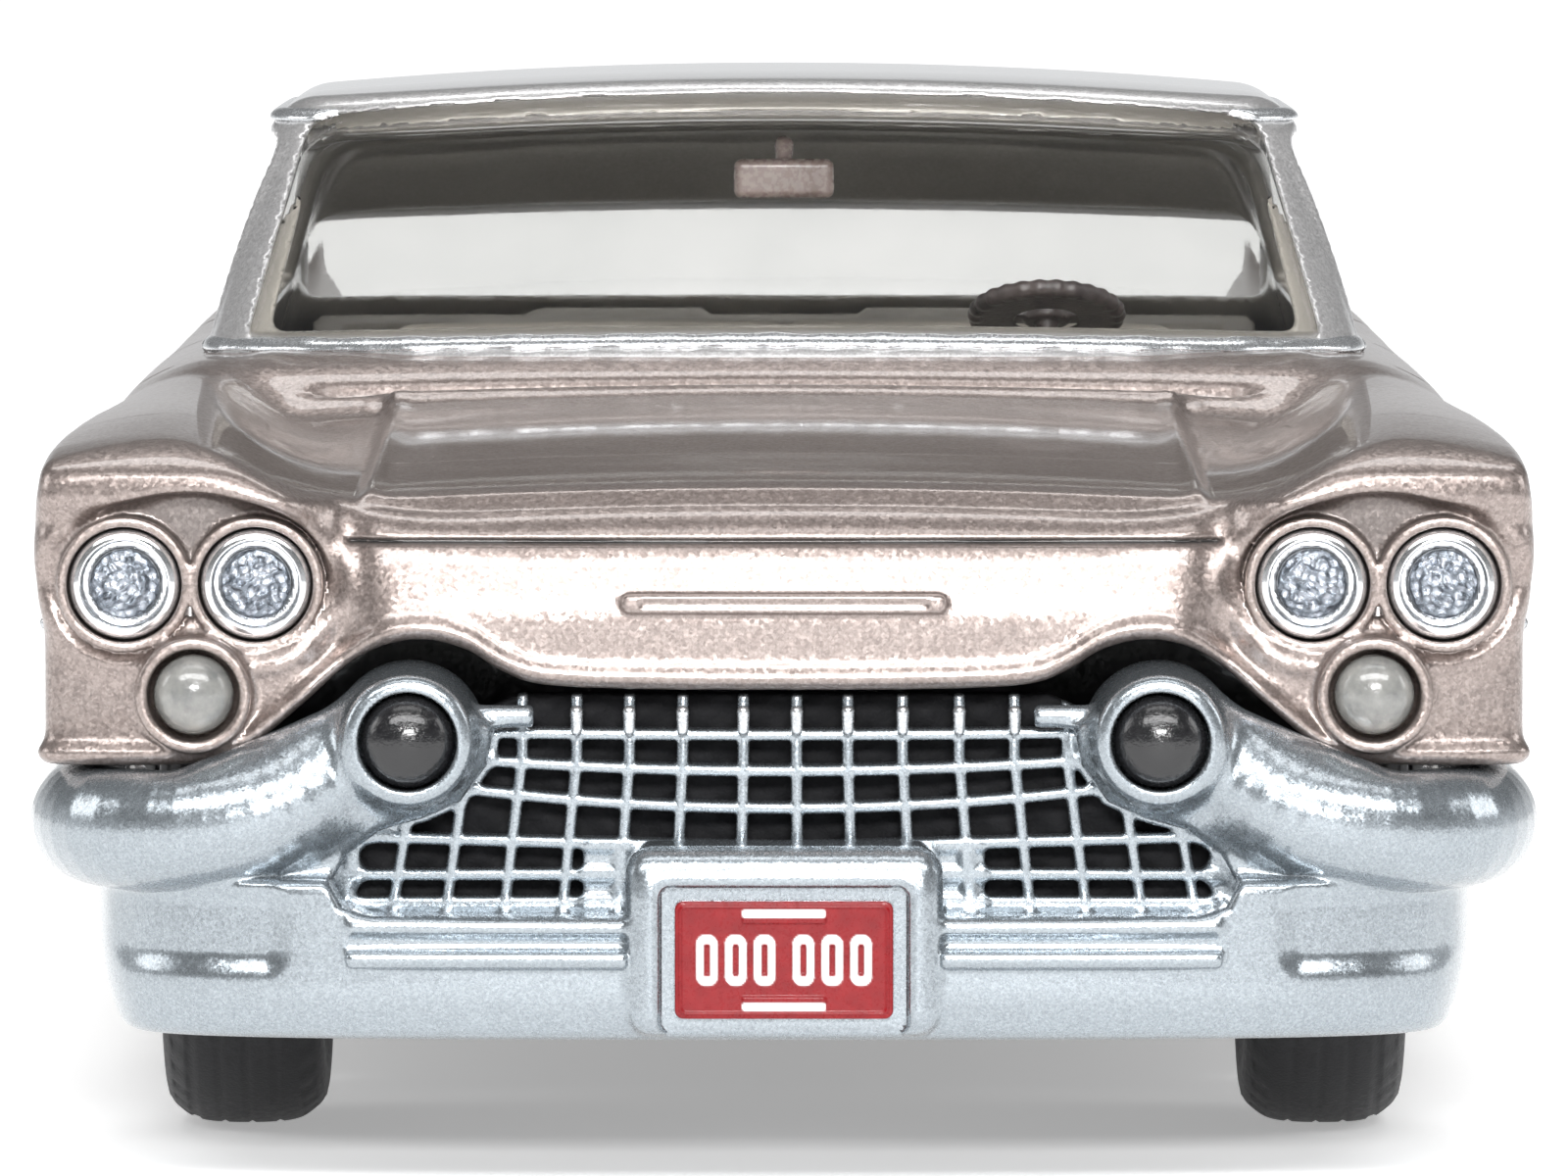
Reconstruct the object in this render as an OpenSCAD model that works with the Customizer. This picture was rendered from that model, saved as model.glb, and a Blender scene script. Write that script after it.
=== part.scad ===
// Die-cast collector car: a four-door hardtop saloon of the late 1950s at 1:87 scale.
// Row frame: +Z up, the nose faces -Y, +X is the driver's side, origin on the ground
// under the middle of the car. All sizes are in millimetres.

/* [Body] */
// Thickness of the cast body's walls
wall = 0.9; // [0.8:0.05:1]
// Height of the roof's highest point above the ground
roof_z = 16.2; // [16.1:0.05:16.3]
// Half width of the window pillars' outer face at the roof rail
rail_x = 8.45; // [8.3:0.05:8.6]
// Thickness of the clear moulding
glass_t = 0.5; // [0.4:0.05:0.6]

/* [Running gear] */
// Distance between the two axles
wheelbase = 36.8; // [36.6:0.1:37]
// Distance of the front axle ahead of the car's middle
front_axle = 21; // [20.9:0.1:21.1]
// Distance between the middles of the left and right tyres
track = 16.8; // [16.6:0.1:17]
// Outer radius of the tyres
tyre_r = 4.15; // [4.05:0.05:4.15]
// Width of a tyre
tyre_w = 2.5; // [2.3:0.1:2.5]
// Radius of the wheel rim that the tyre sits on
rim_r = 2.65; // [2.5:0.05:2.7]
// Radius of an axle rod
axle_r = 0.5; // [0.45:0.05:0.5]
// Radial clearance of an axle in its bearing
axle_gap = 0.05; // [0.03:0.01:0.08]

/* [Fixings] */
// Height of the chassis plate's flat underside
chassis_z = 2; // [1.9:0.1:2.1]
// Thickness of the chassis plate
chassis_t = 1.1; // [1:0.1:1.2]
// Radius of the two holes for the display plinth's screws
plinth_hole_r = 0.7; // [0.6:0.05:0.8]
// Distance between the two plinth screw holes
plinth_hole_gap = 22; // [21:0.5:23]
// Depth of the plinth screw holes
plinth_hole_d = 2.8; // [2.4:0.1:3]

/* [Hidden] */
$fn = 48;
PAINT = "#9c8b82";
SILVER = "#c3cad1";
yf = -front_axle;
yr = -front_axle + wheelbase;
az = tyre_r;

// ---- smooth interpolation in a table of [position, value] rows
function slope(t, i) = let (n = len(t) - 1)
    i == 0 ? (t[1][1] - t[0][1]) / (t[1][0] - t[0][0])
    : i == n ? (t[n][1] - t[n-1][1]) / (t[n][0] - t[n-1][0])
    : (t[i+1][1] - t[i-1][1]) / (t[i+1][0] - t[i-1][0]);
function seg(t, y, i = 0) = i >= len(t) - 2 || y < t[i+1][0] ? i : seg(t, y, i + 1);
function tab(t, y) = let (n = len(t) - 1)
    y <= t[0][0] ? t[0][1] : y >= t[n][0] ? t[n][1] :
    let (i = seg(t, y), h = t[i+1][0] - t[i][0], u = (y - t[i][0]) / h, u2 = u * u, u3 = u2 * u)
    (2*u3 - 3*u2 + 1) * t[i][1] + (u3 - 2*u2 + u) * h * slope(t, i)
    + (-2*u3 + 3*u2) * t[i+1][1] + (u3 - u2) * h * slope(t, i + 1);
function cr(a, b, c, d, u) = 0.5 * (2*b + (c - a)*u + (2*a - 5*b + 4*c - d)*u*u + (3*b - 3*c + d - a)*u*u*u);
// A smooth line through points p, with n steps between each two
function curve(p, n) = [for (i = [0 : len(p) - 2]) for (k = [0 : n - 1])
    cr(p[max(i-1, 0)], p[i], p[i+1], p[min(i+2, len(p)-1)], k / n), p[len(p)-1]];

// ---- the lower body's lines, as [y, value] tables from nose to tail
HALF_W  = [[-30.2,10.3],[-29.6,10.8],[-28,11.05],[-22,11.1],[0,11.1],[16,11.05],[24,10.9],[28,10.6],[30,10.1]];
CROWN_Z = [[-30.2,10.3],[-29.2,10.75],[-26,11.05],[-20,11.35],[-13,11.5],[-4,11.35],[5,11.25],[12,11.45],[20,12.05],[25.5,12.4],[27,12.1],[28.5,10.7],[30,9.2]];
CROWN_X = [[-30.2,9.1],[-22,9.2],[-13,9.9],[0,10.3],[12,10.3],[22,10.1],[30,9.7]];
MID_Z   = [[-30.2,8.9],[-29.7,9.55],[-28.5,10.0],[-26,10.4],[-20,11.0],[-15,11.55],[-10,11.6],[12,11.5],[17,11.45],[21,11.15],[25,10.5],[28,9.6],[29.4,8.7],[30,7.9]];
VALE_Z  = [[-30.2,8.8],[-28,9.4],[-22,10.1],[-16,10.9],[-11,11.3],[10,11.2],[17,11.05],[21,10.8],[25,10.1],[28,9.1],[30,7.8]];
VALE_X  = [[-30.2,7.0],[-22,7.3],[-14,7.9],[0,8.3],[16,8.3],[30,8.2]];
sill_z = 2.6;

// Half of a section at y, from the sill's underside up and in to the middle line
function half_section(y, in) = let (
    w = tab(HALF_W, y) - in, cz = tab(CROWN_Z, y) - in, cx = tab(CROWN_X, y) - in * 0.6,
    mz = tab(MID_Z, y) - in, vz = tab(VALE_Z, y) - in, vx = tab(VALE_X, y), b = in > 0 ? -1 : sill_z)
    curve([[w - 0.55, b], [w - 0.1, b + 0.5], [w, 5], [w, 7.6], [w - 0.12, 9.3], [cx + 0.55, cz - 0.45],
           [cx, cz], [cx - 0.75, cz - 0.25], [vx, vz], [vx - 0.9, (vz + mz) / 2 + 0.1], [3.6, mz - 0.12], [0, mz]], 2);
function full_section(y, in) = let (h = half_section(y, in), n = len(h))
    [for (p = h) [-p[0], y, p[1]], for (i = [n - 2 : -1 : 0]) [h[i][0], y, h[i][1]]];
module loft(rings) {
    n = len(rings[0]); m = len(rings);
    polyhedron([for (r = rings) for (p = r) p], concat(
        [[for (i = [0 : n - 1]) i]],
        [for (j = [0 : m - 2]) for (i = [0 : n - 1]) let (a = j*n + i, b = j*n + (i + 1) % n) each [[a, a + n, b], [b, a + n, b + n]]],
        [[for (i = [n - 1 : -1 : 0]) (m - 1)*n + i]]));
}
module lower_body(in = 0) {
    ya = -30.2 + in; yb = 30 - in; m = in > 0 ? 12 : 32;
    loft([for (j = [0 : m]) full_section(ya + (yb - ya) * (0.5 - 0.5 * cos(180 * j / m)) * 0.6 + (yb - ya) * j / m * 0.4, in)]);
}

// ---- the cabin above the waist: plan outlines stacked in z, cut by the roof's side and front profiles
SCREEN_Y = [[10.4,-15.9],[11.5,-14.9],[12.5,-13.1],[13.5,-11.4],[14.5,-9.7],[15.4,-8.2],[16.6,-6.2]];
BACK_Y   = [[10.4,17.1],[11.5,16.1],[12.5,14.5],[13.5,12.8],[14.5,11.1],[15.4,9.6],[16.6,7.6]];
SIDE_X   = [[10.4,9.85],[11.5,9.55],[12.5,9.3],[13.5,9.05],[14.5,8.8],[15.4,8.55],[16.6,8.3]];
function signed_pow(v, p) = sign(v) * pow(abs(v), p);
function cabin_ring(z, in) = let (f = tab(SCREEN_Y, z) + in * 1.3, b = tab(BACK_Y, z) - in * 1.3, w = tab(SIDE_X, z) - in, c = (f + b) / 2, l = (b - f) / 2)
    [for (k = [0 : 31]) let (a = 11.25 * k) [w * signed_pow(cos(a), 0.4), c + l * signed_pow(sin(a), 0.55), z]];
module roof_side(in) offset(delta = -in) polygon([[-17, 9.5], [-17, 10.4], [-15.9, 10.4], [-9.2, 14.85], [-7.9, 15.45], [-5.8, roof_z - 0.28], [-3, roof_z - 0.07], [0.3, roof_z], [4, roof_z - 0.08], [7, roof_z - 0.42], [9.2, 15.1], [16.9, 10.4], [18, 10.4], [18, 9.5]]);
module roof_front(in) offset(delta = -in) polygon(concat(
    [for (s = [1, -1]) each let (h = [[10.6, 9], [9.9, 10.4], [9.55, 11.5], [9.05, 13.5], [8.7, 14.7], [rail_x - 0.05, 15.2], [rail_x - 0.55, 15.6], [7, roof_z - 0.3], [5.4, roof_z - 0.13], [2.8, roof_z - 0.02], [0.8, roof_z]])
        s > 0 ? h : [for (i = [len(h) - 1 : -1 : 0]) [-h[i][0], h[i][1]]]]));
module cabin(in = 0) {
    intersection() {
        loft([for (z = [10.4 : 1.24 : 16.6]) cabin_ring(z, in)]);
        rotate([90, 0, 90]) linear_extrude(24, center = true) roof_side(in);
        rotate([90, 0, 0]) linear_extrude(40, center = true) roof_front(in);
    }
}
module both() { children(); mirror([1, 0, 0]) children(); }
// The nose's lower edge, which the bumper and grille sit under
module nose_cut_2d() polygon([[0, 7.5], [3.9, 7.5], [4.35, 7.85], [4.9, 8.15], [5.7, 8.2], [6.35, 7.95], [8.1, 6.5], [8.5, 6.32], [12, 6.32], [12, 0], [0, 0]]);
module nose_cut() both() translate([0, -27.9, 0]) rotate([90, 0, 0]) linear_extrude(5) nose_cut_2d();
module nose_side_cut() both() translate([8, -32, -1]) cube([5, 6.4, 7.24]);
module tail_cut() translate([-13, 25.3, -1]) cube([26, 8, 7.1]);
module arch(y, r, top) both() translate([6.6, y, 0]) rotate([90, 0, 90]) linear_extrude(6) intersection() {
    union() { translate([0, az]) circle(r, $fn = 36); translate([-r, -1]) square([2*r, az + 1]); }
    translate([-8, -2]) square([16, top + 2]);
}
module windows() {
    rotate([90, 0, 0]) linear_extrude(20) both() polygon([[-0.1, 12.0], [7.7, 12.0], [8.1, 12.4], [7.9, 13.6], [7.55, 14.6], [6.9, 14.9], [3.5, 15.05], [-0.1, 15.1]]);
    translate([0, 20, 0]) rotate([90, 0, 0]) linear_extrude(13) both() polygon([[-0.1, 12.0], [7.4, 12.0], [7.8, 12.35], [7.3, 13.7], [6.8, 14.1], [3.5, 14.35], [-0.1, 14.4]]);
    rotate([90, 0, 90]) linear_extrude(30, center = true) polygon([[-9.7, 12.0], [-8.8, 13.2], [-7.5, 14.5], [-6.7, 14.75], [5.5, 14.75], [7.2, 14.5], [9.0, 13.2], [10.2, 12.0]]);
}
lamp_in = 7.8; lamp_out = 9.85; lamp_z = 9.0; turn_x = 8.85; turn_z = 7.35;
module lamp_pocket(g = 0) hull() for (x = [lamp_in, lamp_out]) translate([x, -28.1, lamp_z]) rotate([90, 0, 0]) cylinder(r = 0.98 + g, h = 4.8, $fn = 24);

module post(y, top) translate([0, y, chassis_z + chassis_t + 0.05]) difference() {
    hull() { cylinder(r = 1.15, h = 1, $fn = 24); translate([0, 0, top - 3]) cylinder(r = 1.3, h = 0.9, $fn = 24); }
    translate([0, 0, -1]) cylinder(r = 0.52, h = 5, $fn = 24);
}
module body_shell() {
    color(PAINT) {
        difference() {
            union() { lower_body(); cabin(); }
            union() { lower_body(wall); translate([0, 0, -1.3]) intersection() { cabin(wall); translate([-12, -20, 0]) cube([24, 40, 12.4]); } cabin(wall - 0.05); }
            windows();
            nose_cut(); nose_side_cut(); tail_cut();
            arch(yf, 4.75, 20); arch(yr, 4.7, 8.1);
            both() lamp_pocket();
            both() translate([turn_x, -27.9, turn_z]) rotate([90, 0, 0]) cylinder(r = 0.68, h = 4, $fn = 28);
            both() translate([9.15, 27, 7.55]) rotate([-90, 0, 0]) cylinder(r = 1.12, h = 5, $fn = 28);
        }
        // the screw posts under the bonnet and the boot
        post(-24.6, 9.0); post(23.3, 9.3);
        // the visor over each pair of lamps
        both() difference() {
            hull() { translate([lamp_in - 0.5, -29.4, 10.15]) sphere(0.34, $fn = 10); translate([lamp_in - 0.2, -30.1, 10.0]) sphere(0.3, $fn = 10); translate([lamp_out, -30.1, 10.0]) sphere(0.3, $fn = 10); translate([lamp_out, -29.3, 10.35]) sphere(0.34, $fn = 10); }
            lamp_pocket(0.02);
        }
        // door handles
        for (y = [-0.6, 2.0]) both() hull() for (d = [-0.55, 0.55]) translate([11.1, y + d, 9.1]) sphere(0.2, $fn = 8);
        // plain bar badge on the nose
        both() hull() { translate([0, -30.25, 8.6]) sphere(0.16, $fn = 8); translate([2.3, -30.2, 8.6]) sphere(0.16, $fn = 8); }
    }
}

// ---- clear parts and cabin
module glazing() {
    color("#c8ccd0", 0.4) difference() {
        intersection() { cabin(wall + 0.05); translate([-12, -20, 11.2]) cube([24, 40, 10]); }
        cabin(wall + 0.05 + glass_t);
        // the moulding's open underside
        translate([0, 0, -0.6]) cabin(wall + 0.05 + glass_t);
    }
}
tray_floor = 5.9;
module tray_plan() polygon([[-8.3, -12.7], [8.3, -12.7], [8.3, 10.4], [6.4, 10.4], [6.4, 15.2], [-6.4, 15.2], [-6.4, 10.4], [-8.3, 10.4]]);
module interior_tray() {
    color("#8d8880") {
        difference() {
            translate([0, 0, tray_floor]) linear_extrude(4.3) tray_plan();
            translate([0, 0, tray_floor + 0.6]) linear_extrude(6) offset(delta = -0.6) tray_plan();
        }
        // feet on the chassis plate, gearbox tunnel and parcel shelf
        both() translate([5.7, -11, chassis_z + chassis_t + 0.02]) cube([0.7, 16, tray_floor - chassis_z - chassis_t + 0.2]);
        translate([-0.9, -12.5, tray_floor + 0.3]) cube([1.8, 21.5, 0.9]);
        translate([-6.4, 12.6, 9.8]) cube([12.8, 2.6, 0.5]);
    }
}
module bench(y, w, top, back) {
    difference() {
        union() {
            translate([-w, y, tray_floor + 0.65]) cube([2*w, 4.3, 1.9]);
            translate([0, y + 3.3, tray_floor + 0.65]) rotate([90, 0, 90]) linear_extrude(2*w, center = true) polygon([[0, 0], [1.15, 0], [back, top - tray_floor - 0.95], [back - 0.35, top - tray_floor - 0.65], [back - 0.85, top - tray_floor - 0.75]]);
        }
        translate([-0.95, y - 1, tray_floor]) cube([1.9, 7, 1.3]);
    }
}
module front_seat() color("#948e85") bench(-6.6, 7.4, 11.3, 1.9);
module rear_seat() color("#948e85") bench(6.0, 5.7, 10.95, 2.3);
module dashboard() color("#8d8880") rotate([90, 0, 90]) linear_extrude(14.4, center = true)
    polygon([[-12, 7.4], [-12, 10.9], [-11.6, 11.12], [-9.2, 11.12], [-8.2, 10.95], [-7.9, 10.6], [-8.2, 10.2], [-9.4, 9.2], [-9.6, 7.4]]);
module steering_wheel() color("#26262a") translate([4.36, -7.9, 12.05]) rotate([-24, 0, 0]) {
    rotate_extrude() translate([1.17, 0]) circle(0.14, $fn = 24);
    difference() {
        translate([0, 0, -0.12]) cylinder(r = 1.1, h = 0.16);
        for (a = [0, 180]) rotate([0, 0, a]) translate([-0.6, 0.45, -1]) cube([1.2, 0.35, 2]);
    }
    translate([0, 0, -0.05]) cylinder(r = 0.35, h = 0.22);
    translate([0, 0, -0.6]) cylinder(r = 0.2, h = 0.6);
}
module rear_view_mirror() color("#5a4f4a") translate([0, -5.2, 13.7]) {
    translate([-0.86, -0.15, 0]) cube([1.72, 0.3, 0.68]);
    translate([-0.2, -0.05, 0.6]) cube([0.4, 0.35, 0.15]);
}

// ---- bright parts
// A bar swept along points [x, y, z, half thickness, half height], with 14-sided rings
function flat_dir(p, i) = let (a = p[max(i - 1, 0)], b = p[min(i + 1, len(p) - 1)], d = [b[0] - a[0], b[1] - a[1]]) d / norm(d);
module bar(p, pw = 0.8) loft([for (i = [0 : len(p) - 1]) let (d = flat_dir(p, i), q = p[i])
    [for (k = [0 : 13]) let (t = 360 * (k + 0.5) / 14, u = q[3] * signed_pow(cos(t), pw), v = q[4] * signed_pow(sin(t), pw)) [q[0] - u * d[1], q[1] + u * d[0], q[2] + v]]]);
function mirrored(p) = concat([for (q = p) q], [for (i = [len(p) - 1 : -1 : 0]) [-p[i][0], p[i][1], p[i][2], p[i][3], p[i][4]]]);
bullet_x = 5.6; bullet_z = 6.72;
module front_bumper() {
    color(SILVER) resize([0, 0, 0]) difference() {
        union() {
            // wing ends that rise to the bullets
            both() bar([[10.62, -25.9, 5.2, 0.6, 0.7], [10.75, -27.2, 5.2, 0.7, 0.85], [10.7, -28.6, 5.2, 0.75, 0.9], [10.2, -29.7, 5.2, 0.85, 0.92], [9.1, -30.25, 5.25, 0.9, 0.95], [7.9, -30.4, 5.5, 0.9, 0.85], [6.9, -30.4, 6.0, 0.8, 0.75], [5.9, -30.35, 6.55, 0.7, 0.6]]);
            // the pan under them
            bar(mirrored([[10.02, -26.4, 3.5, 0.5, 1.13], [10.1, -28.4, 3.5, 0.6, 1.28], [9.7, -29.5, 3.45, 0.65, 1.25], [8.7, -30.2, 3.4, 0.7, 1.2], [6.6, -30.68, 3.25, 0.75, 1.02], [3, -30.8, 3.2, 0.78, 0.98]]), 0.5);
            both() translate([bullet_x, -29.95, bullet_z]) rotate([90, 0, 0]) cylinder(r1 = 1.12, r2 = 0.99, h = 1.3, $fn = 32);
            translate([-4.9, -30.37, 7.13]) cube([9.8, 0.33, 0.23]);
            translate([-2.37, -31.35, 2.4]) cube([4.74, 1.6, 2.72]);
        }
        translate([-9.45, -29.83, 0.5]) cube([18.9, 6, 8.3]);
        both() translate([bullet_x, -30.6, bullet_z]) rotate([90, 0, 0]) cylinder(r = 0.74, h = 2, $fn = 32);
        translate([-1.67, -32, 2.53]) cube([3.34, 0.92, 1.86]);
    }
}
module bumper_bullets() color("#1b1b1d") both() translate([bullet_x, -30.62, bullet_z]) rotate([90, 0, 0]) {
    cylinder(r = 0.7, h = 0.4);
    translate([0, 0, 0.4]) rotate_extrude() intersection() { scale([1, 0.8]) circle(0.7, $fn = 40); square([0.7, 0.58]); }
}
module grille() color(SILVER) difference() {
    translate([0, -28.7, 0]) rotate([90, 0, 0]) linear_extrude(1.1) polygon(let (h = [[6.6, 3.6], [7.2, 4.0], [7.2, 4.8], [5.6, 5.6], [4.3, 6.0], [4.3, 7.36]])
        concat(h, [for (i = [5 : -1 : 0]) [-h[i][0], h[i][1]]]));
    both() for (i = [0 : 7]) for (k = [0 : 4]) let (x = i * 0.86 + 0.09, z = 3.98 + k * 0.66) if (x + 0.68 < (z > 5.3 ? 4.1 : z > 4.7 ? 5.5 : 6.9)) translate([x, -30, z]) cube([0.68, 0.8, 0.48]);
}
module headlamps(s) color("#d4d8dc") mirror([s > 0 ? 0 : 1, 0, 0]) {
    hull() for (x = [lamp_in, lamp_out]) translate([x, -28.2, lamp_z]) rotate([90, 0, 0]) cylinder(r = 0.93, h = 1.1, $fn = 28);
    for (x = [lamp_in, lamp_out]) translate([x, -29.3, lamp_z]) rotate([90, 0, 0]) rotate_extrude($fn = 40) polygon([[0, 0], [0.78, 0], [0.78, 0.5], [0.7, 0.6], [0.56, 0.5], [0.5, 0.42], [0.3, 0.52], [0, 0.56]]);
}
module headlamps_left() headlamps(1);
module headlamps_right() headlamps(-1);
module front_indicators() color("#9aa0a2") both() translate([turn_x, -28.5, turn_z]) rotate([90, 0, 0]) rotate_extrude() polygon([[0, 0], [0.62, 0], [0.62, 1.7], [0.54, 1.92], [0.3, 2.06], [0, 2.1]]);
module front_number_plate() color("#b02024") translate([-1.63, -31.34, 2.57]) cube([3.26, 0.22, 1.78]);
module rear_bumper() {
    color(SILVER) resize([0, 0, 0]) difference() {
        union() {
            bar(mirrored([[10.2, 25.6, 4.4, 0.5, 1.25], [10.25, 28.2, 4.4, 0.6, 1.35], [9.85, 29.6, 4.35, 0.75, 1.35], [8.8, 30.45, 4.3, 0.85, 1.3], [6.4, 30.8, 4.15, 0.75, 1.1], [2.6, 30.85, 4.05, 0.75, 1.0]]), 0.6);
            both() bar([[10.2, 30.1, 4.45, 0.5, 0.5], [9.7, 30.35, 4.45, 1.0, 1.1], [8.7, 30.4, 4.45, 1.2, 1.25], [7.7, 30.4, 4.4, 0.9, 1.05], [7.1, 30.4, 4.35, 0.4, 0.4]], 1);
        }
        translate([-9.4, 24, 0.5]) cube([18.8, 5.75, 8]);
        translate([-1.9, 31.34, 3.1]) cube([3.8, 1, 2.1]);
    }
}
module tail_lamps() color("#8e1418") both() translate([9.15, 28.2, 7.55]) rotate([-90, 0, 0]) rotate_extrude() polygon([[0, 0], [1.06, 0], [1.06, 1.9], [0.9, 2.4], [0.55, 2.75], [0, 2.9]]);
module rear_number_plate() color("#b02024") translate([-1.63, 31.36, 3.25]) cube([3.26, 0.2, 1.78]);

// ---- chassis and running gear
module chassis_plan() both() polygon([[0, -29.2], [8.6, -29.2], [9.2, -28.4], [9.2, -26.2], [6.75, -26.2], [6.75, -15.8], [9.7, -15.8], [9.7, 10.6], [6.75, 10.6], [6.75, 21.0], [9.2, 21.0], [9.2, 28.4], [8.6, 29.3], [0, 29.3]]);
module chassis() {
    color("#17181a") difference() {
        union() {
            translate([0, 0, chassis_z]) linear_extrude(chassis_t) chassis_plan();
            // bearing brackets that hold the axles
            for (y = [yf, yr]) both() translate([5.0, y - 1.3, chassis_z]) cube([1.5, 2.6, 3.3]);
            // bosses for the plinth's screws
            for (s = [-1, 1]) translate([0, s * plinth_hole_gap / 2 - 2, chassis_z]) cylinder(r = 1.6, h = 3.7);
            // ribs between the axles
            both() translate([3.0, -15, chassis_z + chassis_t - 0.1]) cube([0.8, 24, 0.9]);
        }
        for (y = [yf, yr]) translate([-8, y, az]) rotate([0, 90, 0]) cylinder(r = axle_r + axle_gap, h = 16);
        for (s = [-1, 1]) translate([0, s * plinth_hole_gap / 2 - 2, chassis_z - 1]) cylinder(r = plinth_hole_r, h = plinth_hole_d + 1);
        for (y = [-24.6, 23.3]) translate([0, y, chassis_z - 1]) { cylinder(r = 0.6, h = 4); cylinder(r = 1.3, h = 1.6); }
        // relief of the exhaust run and the propeller shaft tunnel
        both() translate([5.2, -16, chassis_z - 0.1]) cube([0.5, 26, 0.35]);
        translate([1.9, 4, chassis_z - 0.1]) cube([2.2, 7, 0.3]);
        translate([-4.1, 4, chassis_z - 0.1]) cube([2.2, 7, 0.3]);
    }
}
module chassis_screws() color("#a9adb3") for (y = [-24.6, 23.3]) translate([0, y, chassis_z + 0.05]) difference() {
    union() { cylinder(r = 1.2, h = 0.5); cylinder(r = 0.5, h = 4.2); }
    translate([-0.9, -0.13, -0.1]) cube([1.8, 0.26, 0.35]);
    translate([-0.13, -0.9, -0.1]) cube([0.26, 1.8, 0.35]);
}
module axle_rod(y) color("#b4b8bd") translate([0, y, az]) rotate([0, 90, 0]) cylinder(r = axle_r, h = track - 0.2, center = true);
module front_axle_rod() axle_rod(yf);
module rear_axle_rod() axle_rod(yr);
// A wheel's parts, made about +X at the origin and set at side s and station y
module at(s, y) translate([s * track / 2, y, az]) mirror([s > 0 ? 0 : 1, 0, 0]) rotate([0, 90, 0]) children();
module wheel(s, y) color("#c9cdd2") at(s, y) difference() {
    rotate_extrude() polygon([[0, -1.0], [0.9, -1.0], [0.9, -0.6], [rim_r - 0.3, -0.6], [rim_r - 0.3, -1.0], [rim_r, -1.0], [rim_r, 0.95], [rim_r - 0.2, 1.05], [rim_r - 0.4, 0.9], [rim_r - 0.75, 0.75], [1.3, 0.95], [0.9, 0.98], [0.75, 1.1], [0.35, 1.2], [0, 1.22]]);
    translate([0, 0, -2]) cylinder(r = axle_r, h = 1.9);
}
module tyre(s, y) color("#141416") at(s, y) rotate_extrude($fn = 96) polygon(let (h = tyre_w / 2, r = tyre_r) [[rim_r, -1.0], [rim_r + 0.25, -h + 0.1], [r - 0.9, -h], [r - 0.35, -h + 0.18], [r - 0.08, -h + 0.48], [r, -h + 0.85], [r, h - 0.85], [r - 0.08, h - 0.48], [r - 0.35, h - 0.18], [r - 0.9, h], [rim_r + 0.25, h - 0.1], [rim_r, 1.0]]);
module wheel_front_left() wheel(1, yf);
module wheel_front_right() wheel(-1, yf);
module wheel_rear_left() wheel(1, yr);
module wheel_rear_right() wheel(-1, yr);
module tyre_front_left() tyre(1, yf);
module tyre_front_right() tyre(-1, yf);
module tyre_rear_left() tyre(1, yr);
module tyre_rear_right() tyre(-1, yr);

body_shell();
glazing();
interior_tray();
front_seat();
rear_seat();
dashboard();
steering_wheel();
rear_view_mirror();
front_bumper();
grille();
bumper_bullets();
headlamps_left();
headlamps_right();
front_indicators();
front_number_plate();
rear_bumper();
tail_lamps();
rear_number_plate();
chassis();
chassis_screws();
front_axle_rod();
rear_axle_rod();
wheel_front_left();
wheel_front_right();
wheel_rear_left();
wheel_rear_right();
tyre_front_left();
tyre_front_right();
tyre_rear_left();
tyre_rear_right();
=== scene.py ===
import math
import bpy
import numpy as np
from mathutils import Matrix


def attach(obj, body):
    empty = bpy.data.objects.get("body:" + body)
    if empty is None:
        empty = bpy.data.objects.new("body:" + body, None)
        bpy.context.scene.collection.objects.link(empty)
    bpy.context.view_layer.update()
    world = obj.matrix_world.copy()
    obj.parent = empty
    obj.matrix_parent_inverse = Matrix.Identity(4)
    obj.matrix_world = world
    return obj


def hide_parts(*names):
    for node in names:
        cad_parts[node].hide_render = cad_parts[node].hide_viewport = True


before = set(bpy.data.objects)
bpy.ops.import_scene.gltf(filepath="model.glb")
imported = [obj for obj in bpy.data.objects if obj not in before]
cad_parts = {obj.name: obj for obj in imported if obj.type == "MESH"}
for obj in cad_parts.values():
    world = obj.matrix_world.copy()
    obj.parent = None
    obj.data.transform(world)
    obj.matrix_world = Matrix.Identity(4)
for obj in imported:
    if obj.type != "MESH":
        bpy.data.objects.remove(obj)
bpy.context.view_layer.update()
MM = 0.001
F = np.float32

# ------------------------------------------------------------------ numeric helpers
def smin(a, b, k):
    h = np.clip(0.5 + 0.5 * (b - a) / k, 0, 1)
    return b + (a - b) * h - k * h * (1 - h)

def smax(a, b, k):
    h = np.clip(0.5 + 0.5 * (a - b) / k, 0, 1)
    return b + (a - b) * h + k * h * (1 - h)

def step(a, b, x):
    t = np.clip((x - a) / (b - a), 0, 1)
    return t * t * (3 - 2 * t)

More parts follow.
